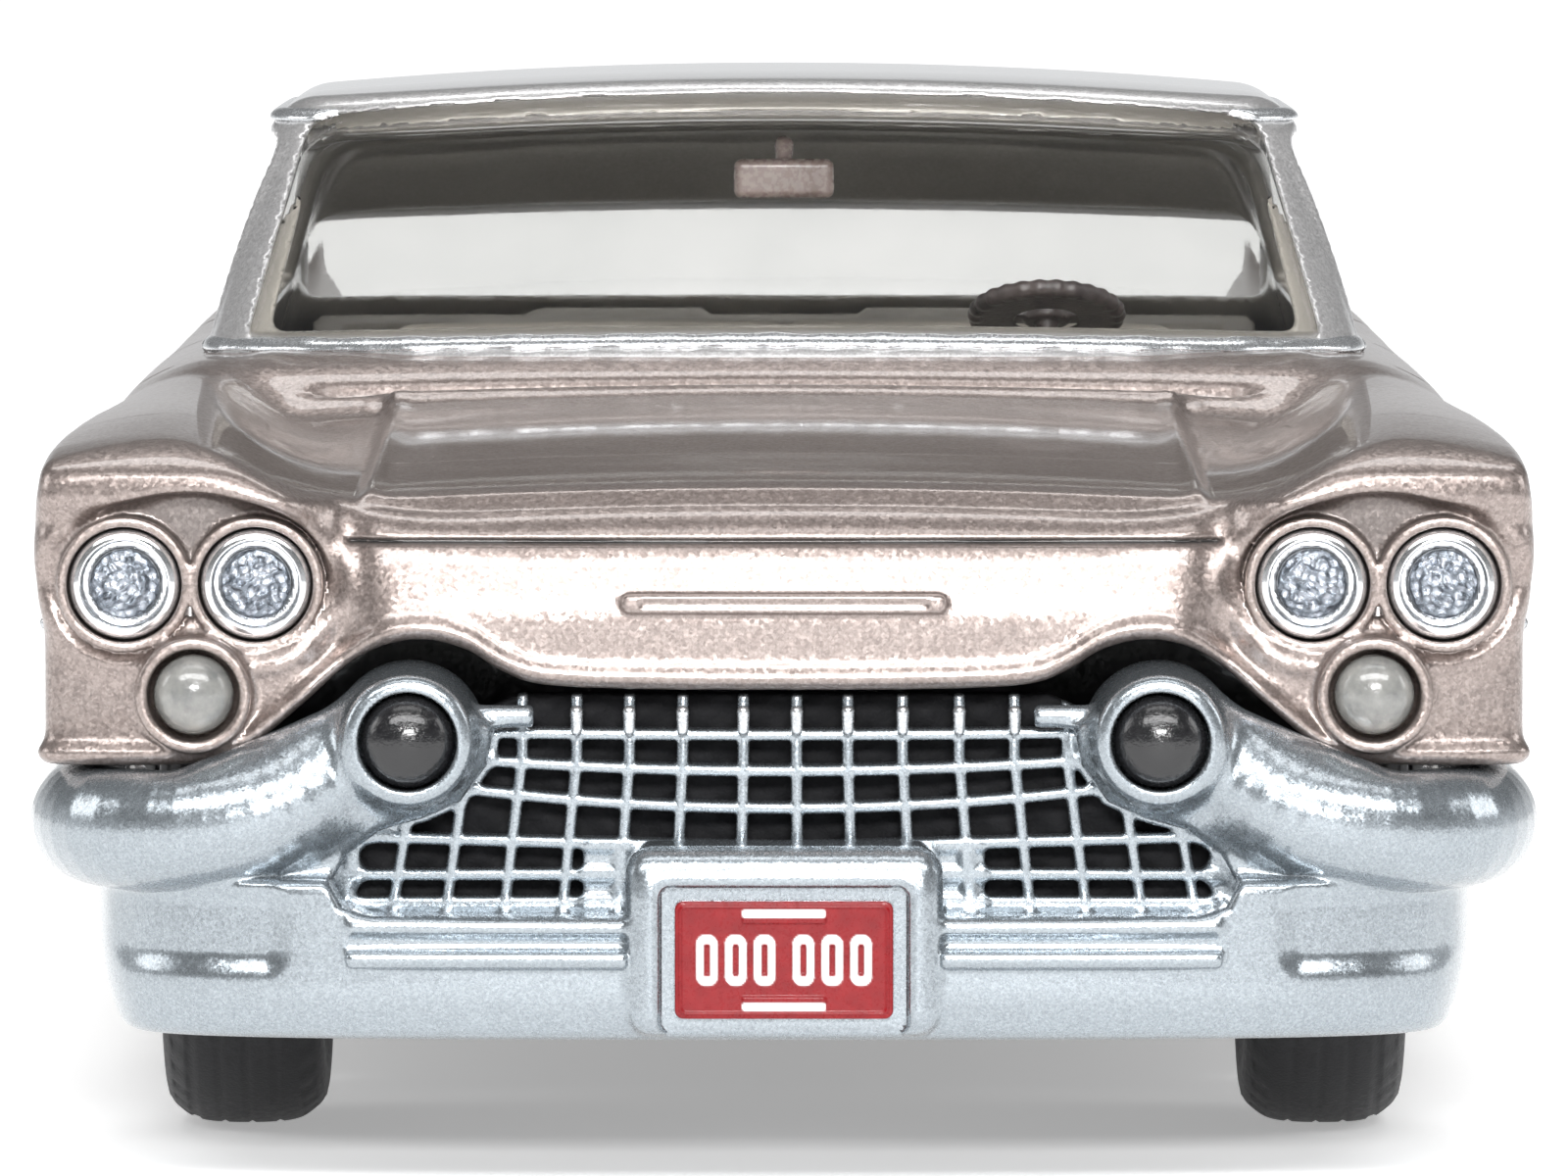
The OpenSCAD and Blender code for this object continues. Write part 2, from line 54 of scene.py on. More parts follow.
def tab(t, v):
    """Monotone cubic through [position, value] rows, flat outside them."""
    p = np.array([r[0] for r in t], float)
    q = np.array([r[1] for r in t], float)
    m = np.empty_like(q)
    hs, s = p[1:] - p[:-1], (q[1:] - q[:-1]) / (p[1:] - p[:-1])
    w1, w2 = 2 * hs[1:] + hs[:-1], hs[1:] + 2 * hs[:-1]
    same = s[:-1] * s[1:] > 0
    m[1:-1] = np.where(same, (w1 + w2) / (w1 / np.where(same, s[:-1], 1) + w2 / np.where(same, s[1:], 1)), 0)
    m[0], m[-1] = s[0], s[-1]
    v = np.asarray(v)
    c = np.clip(v, p[0], p[-1])
    i = np.clip(np.searchsorted(p, c, side="right") - 1, 0, len(p) - 2)
    h = (p[1:] - p[:-1])[i]
    u = (c - p[i]) / h
    u2, u3 = u * u, u * u * u
    r = (2 * u3 - 3 * u2 + 1) * q[i] + (u3 - 2 * u2 + u) * h * m[i] + (3 * u2 - 2 * u3) * q[i + 1] + (u3 - u2) * h * m[i + 1]
    return r.astype(F)

def rbox2(x, y, cx, cy, hx, hy, r):
    qx = np.abs(x - cx) - (hx - r)
    qy = np.abs(y - cy) - (hy - r)
    return np.sqrt(np.maximum(qx, 0) ** 2 + np.maximum(qy, 0) ** 2) + np.minimum(np.maximum(qx, qy), 0) - r

def rbox3(x, y, z, c, h, r):
    qx, qy, qz = np.abs(x - c[0]) - (h[0] - r), np.abs(y - c[1]) - (h[1] - r), np.abs(z - c[2]) - (h[2] - r)
    return np.sqrt(np.maximum(qx, 0) ** 2 + np.maximum(qy, 0) ** 2 + np.maximum(qz, 0) ** 2) + np.minimum(np.maximum(np.maximum(qx, qy), qz), 0) - r

def capsule(x, y, z, a, b, ra, rb=None):
    rb = ra if rb is None else rb
    a, b = np.array(a, float), np.array(b, float)
    d = b - a
    t = np.clip(((x - a[0]) * d[0] + (y - a[1]) * d[1] + (z - a[2]) * d[2]) / (d @ d), 0, 1)
    return np.sqrt((x - a[0] - t * d[0]) ** 2 + (y - a[1] - t * d[1]) ** 2 + (z - a[2] - t * d[2]) ** 2) - (ra + (rb - ra) * t)

def seg2(x, y, a, b):
    """Distance in the plane to a line piece."""
    dx, dy = b[0] - a[0], b[1] - a[1]
    t = np.clip(((x - a[0]) * dx + (y - a[1]) * dy) / (dx * dx + dy * dy), 0, 1)
    return np.hypot(x - a[0] - t * dx, y - a[1] - t * dy)

def poly2(x, y, pts, closed=False):
    d = None
    n = len(pts)
    for i in range(n if closed else n - 1):
        s = seg2(x, y, pts[i], pts[(i + 1) % n])
        d = s if d is None else np.minimum(d, s)
    return d

def inside2(x, y, pts):
    """Signed distance to a closed polygon, negative inside."""
    d = poly2(x, y, pts, True)
    s = np.zeros(np.broadcast(x, y).shape, bool)
    n = len(pts)
    for i in range(n):
        (ax, ay), (bx, by) = pts[i], pts[(i + 1) % n]
        if ay == by:
            continue
        c = ((ay > y) != (by > y)) & (x < (bx - ax) * (y - ay) / (by - ay) + ax)
        s ^= c
    return np.where(s, -d, d)

def smooth_path(pts, n=8):
    """A Catmull-Rom line through the points."""
    P = np.array(pts, float)
    out = []
    for i in range(len(P) - 1):
        p0, p1, p2, p3 = P[max(i - 1, 0)], P[i], P[i + 1], P[min(i + 2, len(P) - 1)]
        for k in range(n):
            u = k / n
            out.append(0.5 * (2 * p1 + (p2 - p0) * u + (2 * p0 - 5 * p1 + 4 * p2 - p3) * u * u + (3 * p1 - 3 * p2 + p3 - p0) * u ** 3))
    out.append(P[-1])
    return [tuple(p) for p in out]

# ------------------------------------------------------------------ mesher (surface nets on a graded grid)
def surface(f, lo, hi, h, sym=False, grade=None, newton=3):
    """Triangulates f = 0 in a box; h is the cell size in mm (one number or three)."""
    h = np.broadcast_to(np.array(h, float), (3,))
    ax = []
    for a in range(3):
        if sym and a == 0:
            m = int(math.ceil(hi[0] / h[0])) + 1
            g = (np.arange(-m, m) + 0.5) * h[0]
        elif grade is not None and grade.get(a):
            g = [lo[a]]
            while g[-1] < hi[a]:
                g.append(g[-1] + 1 * float(np.interp(g[-1], grade[a][0], grade[a][1])))
            g = np.array(g)
        else:
            n = int(math.ceil((hi[a] - lo[a]) / h[a])) + 1
            g = lo[a] + np.arange(n) * h[a]
        ax.append(g)
    X, Y, Z = ax
    half = len(X) // 2 if sym else 0
    xs = X[half:].astype(F)
    V = np.empty((len(X), len(Y), len(Z)), F)
    zz = Z.astype(F)[None, None, :]
    slab = max(1, int(1.5e6 / (len(xs) * len(Z))))
    for j in range(0, len(Y), slab):
        yy = Y[j:j + slab].astype(F)[None, :, None]
        v = f(xs[:, None, None], yy, zz)
        V[half:, j:j + slab, :] = np.broadcast_to(v, (len(xs), yy.shape[1], len(Z)))
    if sym:
        V[:half] = V[half:][::-1]
    V[V == 0] = 1e-7
    neg = V < 0
    c = [neg[i:neg.shape[0] - 1 + i, j:neg.shape[1] - 1 + j, k:neg.shape[2] - 1 + k] for i in (0, 1) for j in (0, 1) for k in (0, 1)]
    cnt = np.zeros(c[0].shape, np.uint8)
    for q in c:
        cnt += q
    act = (cnt > 0) & (cnt < 8)
    I, J, K = np.nonzero(act)
    ids = np.full(act.shape, -1, np.int32)
    ids[I, J, K] = np.arange(len(I))
    corner = {}
    for i in (0, 1):
        for j in (0, 1):
            for k in (0, 1):
                corner[i, j, k] = (V[I + i, J + j, K + k], X[I + i], Y[J + j], Z[K + k])
    S = np.zeros((len(I), 3))
    N = np.zeros(len(I))
    for a in range(3):
        for u in (0, 1):
            for w in (0, 1):
                p = [u, w]
                p.insert(a, 0)
                q = list(p)
                q[a] = 1
                va, xa, ya, za = corner[tuple(p)]
                vb, xb, yb, zb = corner[tuple(q)]
                m = (va < 0) != (vb < 0)
                t = np.where(m, va / np.where(m, va - vb, 1), 0)
                S[:, 0] += m * (xa + t * (xb - xa))
                S[:, 1] += m * (ya + t * (yb - ya))
                S[:, 2] += m * (za + t * (zb - za))
                N += m
    P = S / N[:, None]
    size = np.stack([X[I + 1] - X[I], Y[J + 1] - Y[J], Z[K + 1] - Z[K]], 1)
    quads = []
    nx, ny, nz = V.shape
    for a in range(3):
        A = neg.take(range(0, V.shape[a] - 1), a)
        B = neg.take(range(1, V.shape[a]), a)
        e = A != B
        i, j, k = np.nonzero(e)
        s = A[i, j, k]
        if a == 0:
            ok = (j > 0) & (k > 0) & (j < ny - 1) & (k < nz - 1)
            i, j, k, s = i[ok], j[ok], k[ok], s[ok]
            q = [ids[i, j - 1, k - 1], ids[i, j, k - 1], ids[i, j, k], ids[i, j - 1, k]]
        elif a == 1:
            ok = (i > 0) & (k > 0) & (i < nx - 1) & (k < nz - 1)
            i, j, k, s = i[ok], j[ok], k[ok], s[ok]
            q = [ids[i - 1, j, k - 1], ids[i - 1, j, k], ids[i, j, k], ids[i, j, k - 1]]
        else:
            ok = (i > 0) & (j > 0) & (i < nx - 1) & (j < ny - 1)
            i, j, k, s = i[ok], j[ok], k[ok], s[ok]
            q = [ids[i - 1, j - 1, k], ids[i, j - 1, k], ids[i, j, k], ids[i - 1, j, k]]
        q = np.stack(q, 1)
        q[~s] = q[~s][:, ::-1]
        quads.append(q)
    quads = np.concatenate(quads)
    eps = float(h.min()) * 0.35
    G = None
    P0 = P.copy()
    for it in range(newton + 1):
        x, y, z = [P[:, a].astype(np.float64) for a in range(3)]
        G = np.stack([f(x + eps, y, z) - f(x - eps, y, z), f(x, y + eps, z) - f(x, y - eps, z), f(x, y, z + eps) - f(x, y, z - eps)], 1).astype(float) / (2 * eps)
        if it == newton:
            break
        v = np.broadcast_to(f(x, y, z), x.shape).astype(float)
        g2 = np.maximum((G ** 2).sum(1), 0.04)
        d = -(v / g2)[:, None] * G * (0.9 if it else 0.8)
        P = P + d
        P = np.clip(P, P0 - 0.6 * size, P0 + 0.6 * size)
    nrm = G / np.maximum(np.linalg.norm(G, axis=1), 1e-9)[:, None]
    return P, quads, nrm

def mesh_object(name, P, faces, nrm=None, attrs=None, keep=None):
    """A Blender object from points in mm."""
    if keep is not None:
        k = keep(P)
        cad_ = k[faces].all(1)
        faces = faces[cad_]
    used = np.unique(faces)
    remap = np.full(len(P), -1, np.int64)
    remap[used] = np.arange(len(used))
    P = P[used]
    faces = remap[faces]
    me = bpy.data.meshes.new(name)
    me.vertices.add(len(P))
    me.vertices.foreach_set("co", (P * MM).astype(np.float32).ravel())
    w = faces.shape[1]
    me.loops.add(faces.size)
    me.loops.foreach_set("vertex_index", faces.astype(np.int32).ravel())
    me.polygons.add(len(faces))
    me.polygons.foreach_set("loop_start", np.arange(0, faces.size, w, dtype=np.int32))
    me.update(calc_edges=True)
    me.shade_smooth()
    if attrs:
        for k, v in attrs.items():
            a = me.attributes.new(k, "FLOAT", "POINT")
            a.data.foreach_set("value", np.asarray(v, np.float32)[used])
    if nrm is not None:
        me.normals_split_custom_set_from_vertices(nrm[used].astype(np.float32))
    ob = bpy.data.objects.new(name, me)
    bpy.context.scene.collection.objects.link(ob)
    return ob

def piece(name, f, lo, hi, h, mat, body="car", nodes=(), slot=None, sym=False, attrs=None, keep=None, **kw):
    P, q, n = surface(f, lo, hi, h, sym, **kw)
    a = {k: v(P[:, 0], P[:, 1], P[:, 2]) for k, v in (attrs or {}).items()}
    ob = mesh_object(name, P, q, n, a, keep)
    ob.data.materials.append(mat)
    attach(ob, body)
    if nodes:
        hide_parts(*nodes)
    return ob

# ------------------------------------------------------------------ the body's lines (mm; nose at -Y)
HALF_W = [[-31, 10.92], [-30, 11.08], [-29, 11.14], [-27, 11.16], [-22, 11.15], [0, 11.15], [16, 11.12], [22, 11.0], [26, 10.8], [29, 10.5], [31, 10.2]]
MID = [[-30.6, 9.3], [-30.2, 9.75], [-29.8, 10.08], [-29.3, 10.3], [-28.6, 10.45], [-26, 10.62], [-20, 10.92], [-15.2, 11.14], [-14.4, 11.36], [-13.4, 11.70], [-12.6, 11.84], [-10, 11.9], [4, 11.9], [12, 11.2], [16.5, 11.35], [20, 11.2], [24, 10.6], [27, 9.8], [29, 9.0], [30.5, 8.1]]
CROWN = [[-31, 10.5], [-30.3, 10.85], [-29.4, 11.06], [-27.5, 11.2], [-24, 11.32], [-18, 11.38], [-12, 11.46], [-6, 11.44], [4, 11.36], [11, 11.45], [17, 11.8], [22, 12.2], [26, 12.5], [28.3, 12.5], [29.6, 11.9], [30.6, 10.8]]
CROWN_X = [[-31, 9.1], [-28, 9.35], [-22, 9.5], [-14, 9.55], [-8, 9.65], [10, 9.9], [18, 9.75], [24, 9.6], [29, 9.4], [31, 9.3]]
CROWN_K = [[-31, 0.24], [-24, 0.28], [-18, 0.40], [-15, 0.55], [-8, 0.9], [10, 1.0], [16, 1.2], [22, 1.5], [31, 1.6]]

def top_z(ax, y):
    mid = tab(MID, y)
    front = step(-13.4, -15.5, y)
    base = mid - tab([[-16, 0.0045], [-13.6, 0.002], [-8, 0.002], [10, 0.0045]], y) * ax * ax - 0.16 * np.maximum(ax - 8.2, 0) ** 2 * step(-22, -16, y)
    panel = step(6.5, 6.28, ax) * step(-29.35, -28.95, y) * step(-14.5, -14.9, y)
    edge = np.exp(-((ax - 6.2) / 0.12) ** 2) * step(-29.2, -28.8, y) * step(-14.4, -14.9, y)
    base = base - 0.16 * front * (1 - panel) + 0.05 * edge * front
    # cowl ridge under the windscreen, with the hood's gap ahead of it
    base = base + 0.10 * np.exp(-((y + 14.75) / 0.28) ** 2) * step(6.9, 6.2, ax) - 0.13 * np.exp(-((y + 14.32) / 0.12) ** 2) * step(7.9, 7.3, ax)
    cx, k_in = tab(CROWN_X, y), tab(CROWN_K, y)
    cz = tab(CROWN, y)
    d = ax - cx
    inner = np.minimum(d, 0)
    outer = np.maximum(d, 0)
    fen = cz - k_in * inner * inner / (1 + 0.10 * inner * inner) - tab([[-28, 0.10], [-20, 0.18], [-12, 0.34], [6, 0.34], [15, 0.5], [28, 0.55]], y) * outer ** 1.7
    # rear deck sinks between the fins
    deck = step(13, 18, y)
    base = base - deck * 0.35 * np.exp(-((ax - 8.5) / 0.8) ** 2)
    return smax(base, fen, 0.75 - 0.3 * step(8, 16, y))

def half_w(y, z):
    w = tab(HALF_W, y)
    low = 0.55 * step(4.2, 2.5, z)
    fr = step(-25.5, -29.6, y)
    brow = 0.14 * fr * np.exp(-((z - 9.95) / 0.9) ** 2)
    shoulder = (0.05 + 0.35 * step(-24, -12, y)) * step(9.8, 11.6, z) + 0.75 * step(12, 19, y) * step(9.3, 12.0, z)
    tuck = 0.10 * np.exp(-((z - 8.25) / 0.28) ** 2) * step(-28, -25, y) * step(27, 20, y)
    cove = 0.16 * step(0.1, 0.5, z - (4.1 - 0.0 * y)) * step(7.8, 7.4, z) * step(-6.5, -3.5, y) * step(11.6, 10.6, y)
    return w - low + brow - shoulder - tuck - cove

def nose_y(ax, z):
    """How far the front face stands forward (-y) at ax, z."""
    plan = 30.38 - 0.0025 * ax * ax - 0.0000035 * ax ** 5
    prof = tab([[5.5, -0.05], [7.0, -0.05], [7.6, 0.02], [8.4, 0.05], [9.2, -0.12], [9.62, -0.3], [9.9, -0.42], [10.3, -0.95], [10.6, -1.8], [11, -3.2], [12.6, -5]], z)
    brow = tab([[5.5, 0.0], [8.0, -0.06], [9.8, 0.02], [10.3, 0.26], [10.6, 0.2], [10.9, -0.2], [11.15, -0.9], [11.5, -2.4], [12.6, -5]], z)
    m = step(6.3, 7.5, ax)
    f = plan + prof * (1 - m) + brow * m
    # concave fold between nose and lamp pods
    f = f - 0.34 * np.exp(-((ax - 6.72) / 0.46) ** 2) * step(7.2, 8.2, z) * step(10.9, 9.9, z)
    return f

def tail_y(ax, z):
    plan = 29.75 - 0.004 * ax * ax
    prof = tab([[2, -0.3], [6, 0.0], [7.2, 0.05], [8.2, -0.1], [9, -0.5], [9.6, -1.2], [10.4, -2.6], [12.8, -8]], z)
    fin = tab([[2, -0.1], [6, 0.2], [7.6, 0.45], [9, 0.3], [10.2, 0.25], [11.3, 0.55], [12.0, 0.75], [12.6, 0.3], [13, -0.5]], z)
    m = step(7.4, 8.4, ax)
    return plan * (1 - m) + 29.9 * m + prof * (1 - m) + fin * m

AZ, YF, YR = 4.15, -21.0, 15.8
LAMPS = (7.93, 9.9)
LAMP_Z = 8.98
NOSE_EDGE = smooth_path([[0, 7.42], [2.0, 7.43], [3.6, 7.5], [4.25, 7.72], [4.75, 8.02], [5.35, 8.17], [5.95, 8.1], [6.5, 7.82], [7.1, 7.3], [7.7, 6.78], [8.15, 6.46], [8.6, 6.32], [9.3, 6.26], [10.4, 6.24], [11.6, 6.24]], 3)

def nose_line(ax):
    return tab([list(p) for p in NOSE_EDGE], ax)

def pods(ax, y, z):
    """Signed distance (in the front view) to the outline round a pair of lamps."""
    a = np.hypot((ax - LAMPS[0]) / 1.0, z - LAMP_Z) - 1.02
    b = np.hypot((ax - LAMPS[1]) / 1.0, z - LAMP_Z) - 1.02
    c = np.hypot((ax - 8.92) / 1.95, (z - 9.0) / 1.36) - 1.0
    c = smax(c * 1.3, 9.0 - z, 0.3)
    return smin(smin(a, b, 0.35), c, 0.35)

def side_grooves(y, z):
    """Distance to the door lines in the side view."""
    l1 = poly2(y, z, [(-11.6, 11.6), (-11.6, 7.5), (-11.2, 4.6), (-10.6, 3.2)])
    l2 = seg2(y, z, (-0.3, 11.8), (-0.3, 3.2))
    l3 = poly2(y, z, smooth_path([(10.9, 11.8), (10.7, 9.6), (10.0, 8.2), (9.9, 5.4), (9.6, 3.2)], 4))
    l4 = seg2(y, z, (-10.6, 3.2), (9.6, 3.2))
    return np.minimum(np.minimum(l1, l2), np.minimum(l3, l4))

def groove_mask(x, y, z):
    """1 in the panel gaps, 0 elsewhere (drawn in the paint and cut in the metal)."""
    ax = np.abs(x)
    side = np.exp(-(side_grooves(y, z) / 0.075) ** 2) * step(9.9, 10.5, ax) * step(11.9, 11.5, z)
    hood = np.exp(-((z - 9.62) / 0.045) ** 2) * step(-27.5, -28.5, y) * step(6.62, 6.5, ax)
    hood = np.maximum(hood, 0.8 * np.exp(-((y + 14.32) / 0.07) ** 2) * step(7.4, 7.2, ax) * step(10, 10.5, z))
    boot = np.exp(-((ax - 7.75) / 0.08) ** 2) * step(17.4, 17.6, y) * step(8.3, 8.5, z)
    boot = np.maximum(boot, np.exp(-((y - 17.5) / 0.09) ** 2) * step(7.9, 7.7, ax) * step(10, 10.5, z))
    boot = np.maximum(boot, np.exp(-((z - 8.35) / 0.07) ** 2) * step(28, 28.5, y) * step(7.9, 7.7, ax))
    return np.maximum(np.maximum(side, hood), boot)

def screen_plane(ax, y, z):
    """Panoramic windscreen: flat in the middle, wrapping round at the corners."""
    wy = -13.5 + 1.22 * (z - 11.6) + 0.010 * ax * ax + 0.15 * np.maximum(ax - 5.6, 0) ** 2
    return (wy - y) * 0.62

def greenhouse(ax, y, z, inset=0.0):
    """Outside of roof and glass as one smooth form."""
    side = (ax - (9.53 - 0.262 * (z - 11.6) - 0.004 * np.maximum(z - 13.2, 0) ** 2)) * 0.95
    roof_mid = tab([[-13, 15.2], [-11, 15.55], [-9.8, 15.82], [-8.6, 15.98], [-7, 16.1], [-4, 16.18], [0, 16.2], [4, 16.12], [7, 15.85], [9.2, 15.35], [11, 14.6], [13, 13.35], [15, 11.7]], y)
    roof = z - (roof_mid - 0.0055 * ax * ax)
    ws = screen_plane(ax, y, z)
    ry = 16.6 - 1.22 * (z - 11.3) - 0.010 * ax * ax - 0.22 * np.maximum(ax - 5.6, 0) ** 2 * 0.5
    rs = (y - ry) * 0.64
    d = smax(side, roof, 0.55)
    d = smax(d, ws, 0.32)
    d = smax(d, rs, 0.55)
    return d + inset

def lower_outer(x, y, z):
    ax = np.abs(x)
    top = (z - top_z(ax, y)) * 0.93
    side = ax - half_w(y, z)
    front = (-y - nose_y(ax, z)) * 0.95
    rear = (y - tail_y(ax, z)) * 0.95
    d = smax(top, side, 0.34 - 0.14 * step(-23, -27, y))
    d = smax(d, front, 0.3)
    d = smax(d, rear, 0.3)
    return d

def arch_cut(ax, y, z):
    a = np.hypot(y - YF, z - AZ) - 4.85
    a = np.minimum(a, smax(np.abs(y - YF) - 4.85, z - AZ, 0.01))
    b = np.hypot(y - YR, z - AZ) - 4.75
    b = np.minimum(b, smax(np.abs(y - YR) - 4.75, z - AZ, 0.01))
    b = smax(b, z - 8.25, 0.5)
    return a, b

def body_f(x, y, z):
    ax = np.abs(x)
    d = lower_outer(x, y, z)
    # wheel openings with a raised lip
    a, b = arch_cut(ax, y, z)
    lip = 0.10 * (np.exp(-((a - 0.16) / 0.16) ** 2) + np.exp(-((b - 0.16) / 0.16) ** 2)) * step(9.5, 10.2, ax)
    d = d - lip
    # panel gaps
    d = d + 0.11 * groove_mask(x, y, z)
    # rocker bottom
    d = smax(d, 2.62 - z, 0.15)
    # nose's lower edge over bumper and grille, with a rolled lip
    e = (z - nose_line(ax)) * 0.8
    d = d - 0.13 * np.exp(-((e - 0.14) / 0.13) ** 2) * step(-28.5, -29.5, y)
    d = smax(d, -smax(e, y + 25.45, 0.1), 0.1)
    d = smax(d, -smax(z - 6.0, 25.5 - y, 0.05), 0.1)
    # lamp pods
    p = pods(ax, y, z)
    d = smax(d, -smax(p, y + 29.55 + 0.03 * (ax - 8.9), 0.25), 0.14)
    d = d - 0.10 * np.exp(-((p - 0.22) / 0.16) ** 2) * step(-28.8, -29.4, y) * step(10.1, 9.6, z)
    # round bosses that hold each lamp's bezel
    for lx in LAMPS:
        t = np.hypot(ax - lx, z - LAMP_Z)
        ring = smax(np.abs(t - 0.94) - 0.075, np.abs(y + 29.75) - 0.3, 0.06)
        d = smin(d, ring, 0.07)
        d = smax(d, -smax(t - 0.78, y + 29.2, 0.05), 0.05)
    # turn lamp's seat
    t = np.hypot(ax - 8.85, z - 7.34)
    d = smin(d, smax(np.abs(t - 0.78) - 0.09, np.abs(y + 30.1) - 0.35, 0.08), 0.16)
    d = smax(d, -smax(t - 0.59, y + 29.6, 0.05), 0.05)
    # tail lamp's seat
    t = np.hypot(ax - 9.15, z - 7.55)
    d = smin(d, smax(np.abs(t - 1.2) - 0.12, np.abs(y - 29.8) - 0.7, 0.1), 0.25)
    d = smax(d, -smax(t - 1.0, 28.6 - y, 0.05), 0.05)
    # plain bar badge on the nose and its wing-like bars
    q = np.hypot(np.maximum(ax - 2.3, 0), z - 8.72)
    d = smin(d, smax(q - 0.15, np.abs(y + 29.9) - 0.78 + 0.0025 * ax * ax, 0.1), 0.05)
    d = d + 0.05 * np.exp(-((z - 8.72) / 0.06) ** 2) * step(2.2, 2.1, ax) * step(-29, -30, y)
    # wheel openings
    inner = 6.4 - ax
    d = smax(d, -smax(a, inner, 0.15), 0.07)
    d = smax(d, -smax(b, inner, 0.15), 0.07)
    # cabin and under-body space
    g = greenhouse(ax, y, z)
    cab = smax(smax(ax - 8.75, 5.6 - z, 0.05), smax(-12.15 - y, y - 15.6, 0.3), 0.3)
    cab = np.minimum(smax(cab, z - 10.2, 0.1), smax(g + 0.75, 9.0 - z, 0.1))
    d = smax(d, -cab, 0.08)
    d = smax(d, -smax(smax(ax - 10.05, z - 5.4, 0.1), smax(-25.2 - y, y - 27.8, 0.1), 0.1), 0.05)
    return d

def win_front(ax, y, z):
    """Signed distance-like field, negative in the windscreen's opening."""
    lim = 9.53 - 0.262 * (z - 11.6) - 0.004 * np.maximum(z - 13.2, 0) ** 2 - 0.62
    d = smax(smax(ax - lim, 11.99 - 0.002 * ax * ax - z, 0.3), z - (15.86 - 0.0065 * ax * ax), 0.45)
    return smax(d, y + 5.0, 0.3)

def win_side(ax, y, z):
    ya = -9.3 + 0.62 * (z - 11.9)
    yc = 10.3 - 0.75 * (z - 11.9)
    return smax(smax(smax(ya - y, y - yc, 0.6), 11.95 - z, 0.3), z - 15.12, 0.5)

def win_rear(ax, y, z):
    yc = 12.0 - 0.55 * (z - 11.9)
    return smax(smax(smax(yc - y, 11.5 - z, 0.35), z - (13.3 - 0.003 * ax * ax), 0.4), ax - 8.45, 0.3)

def roof_f(x, y, z):
    ax = np.abs(x)
    g = greenhouse(ax, y, z)
    d = smax(g, -(g + 0.88), 0.04)
    d = smax(d, top_z(ax, y) - 0.35 - z, 0.05)
    wf, ws, wr = win_front(ax, y, z), win_side(ax, y, z), win_rear(ax, y, z)
    # raised bright frames round the openings
    fr = 0.05 * (0.7 * np.exp(-((wf - 0.2) / 0.13) ** 2) + np.exp(-((wr - 0.2) / 0.13) ** 2) + 0.8 * np.exp(-((ws - 0.18) / 0.12) ** 2))
    rib = 0.07 * np.exp(-((z - 15.35 + 0.0 * y) / 0.12) ** 2) * step(7.6, 8.2, ax) * step(-9, -7.5, y)
    d = d - fr * step(-0.5, -0.1, g)
    # the glass moulding's seat: the windscreen sits in a rebate, its frame is narrower inside
    d = smax(d, -smax(wf, -(screen_plane(ax, y, z) + 0.62), 0.02), 0.08)
    inner = smax(smax(wf, ax - (8.35 - 0.22 * (z - 11.9)), 0.3), z - (15.35 - 0.006 * ax * ax), 0.5)
    d = smax(d, -inner, 0.10)
    for w in (ws, wr):
        d = smax(d, -w, 0.10)
    return d

def glass_f(x, y, z):
    ax = np.abs(x)
    g = greenhouse(ax, y, z)
    wf, ws, wr = win_front(ax, y, z), win_side(ax, y, z), win_rear(ax, y, z)
    w = np.minimum(np.minimum(wf, ws), wr)
    d = smax(g + 0.13, -(g + 0.58), 0.04)
    d = smax(d, w - 0.35, 0.05)
    return smax(d, 11.3 - z, 0.05)

# ------------------------------------------------------------------ front bumper, grille, plate
BX, BZ = 5.62, 6.70
WING = smooth_path([(10.5, -25.6, 5.32), (10.5, -27.5, 5.32), (10.42, -28.6, 5.32), (10.0, -29.6, 5.32), (9.2, -30.2, 5.34), (8.2, -30.45, 5.46), (7.3, -30.5, 5.8), (6.5, -30.35, 6.3)], 3)

def plan_front(ax):
    """How far the bumper's pan stands forward at ax."""
    return tab([[0, 31.42], [4, 31.36], [7, 31.12], [8.6, 30.72], [9.5, 30.15], [10.1, 29.3], [10.45, 28.0], [10.6, 26.0], [10.62, 24.0]], ax)

OPEN = [(-3, 7.05), (3.9, 7.05), (4.35, 6.85), (4.45, 6.3), (4.85, 5.75), (5.4, 5.5), (6.05, 5.32), (6.55, 4.95), (6.78, 4.55), (6.62, 4.22), (6.15, 4.05), (2.6, 4.05), (-3, 4.05)]

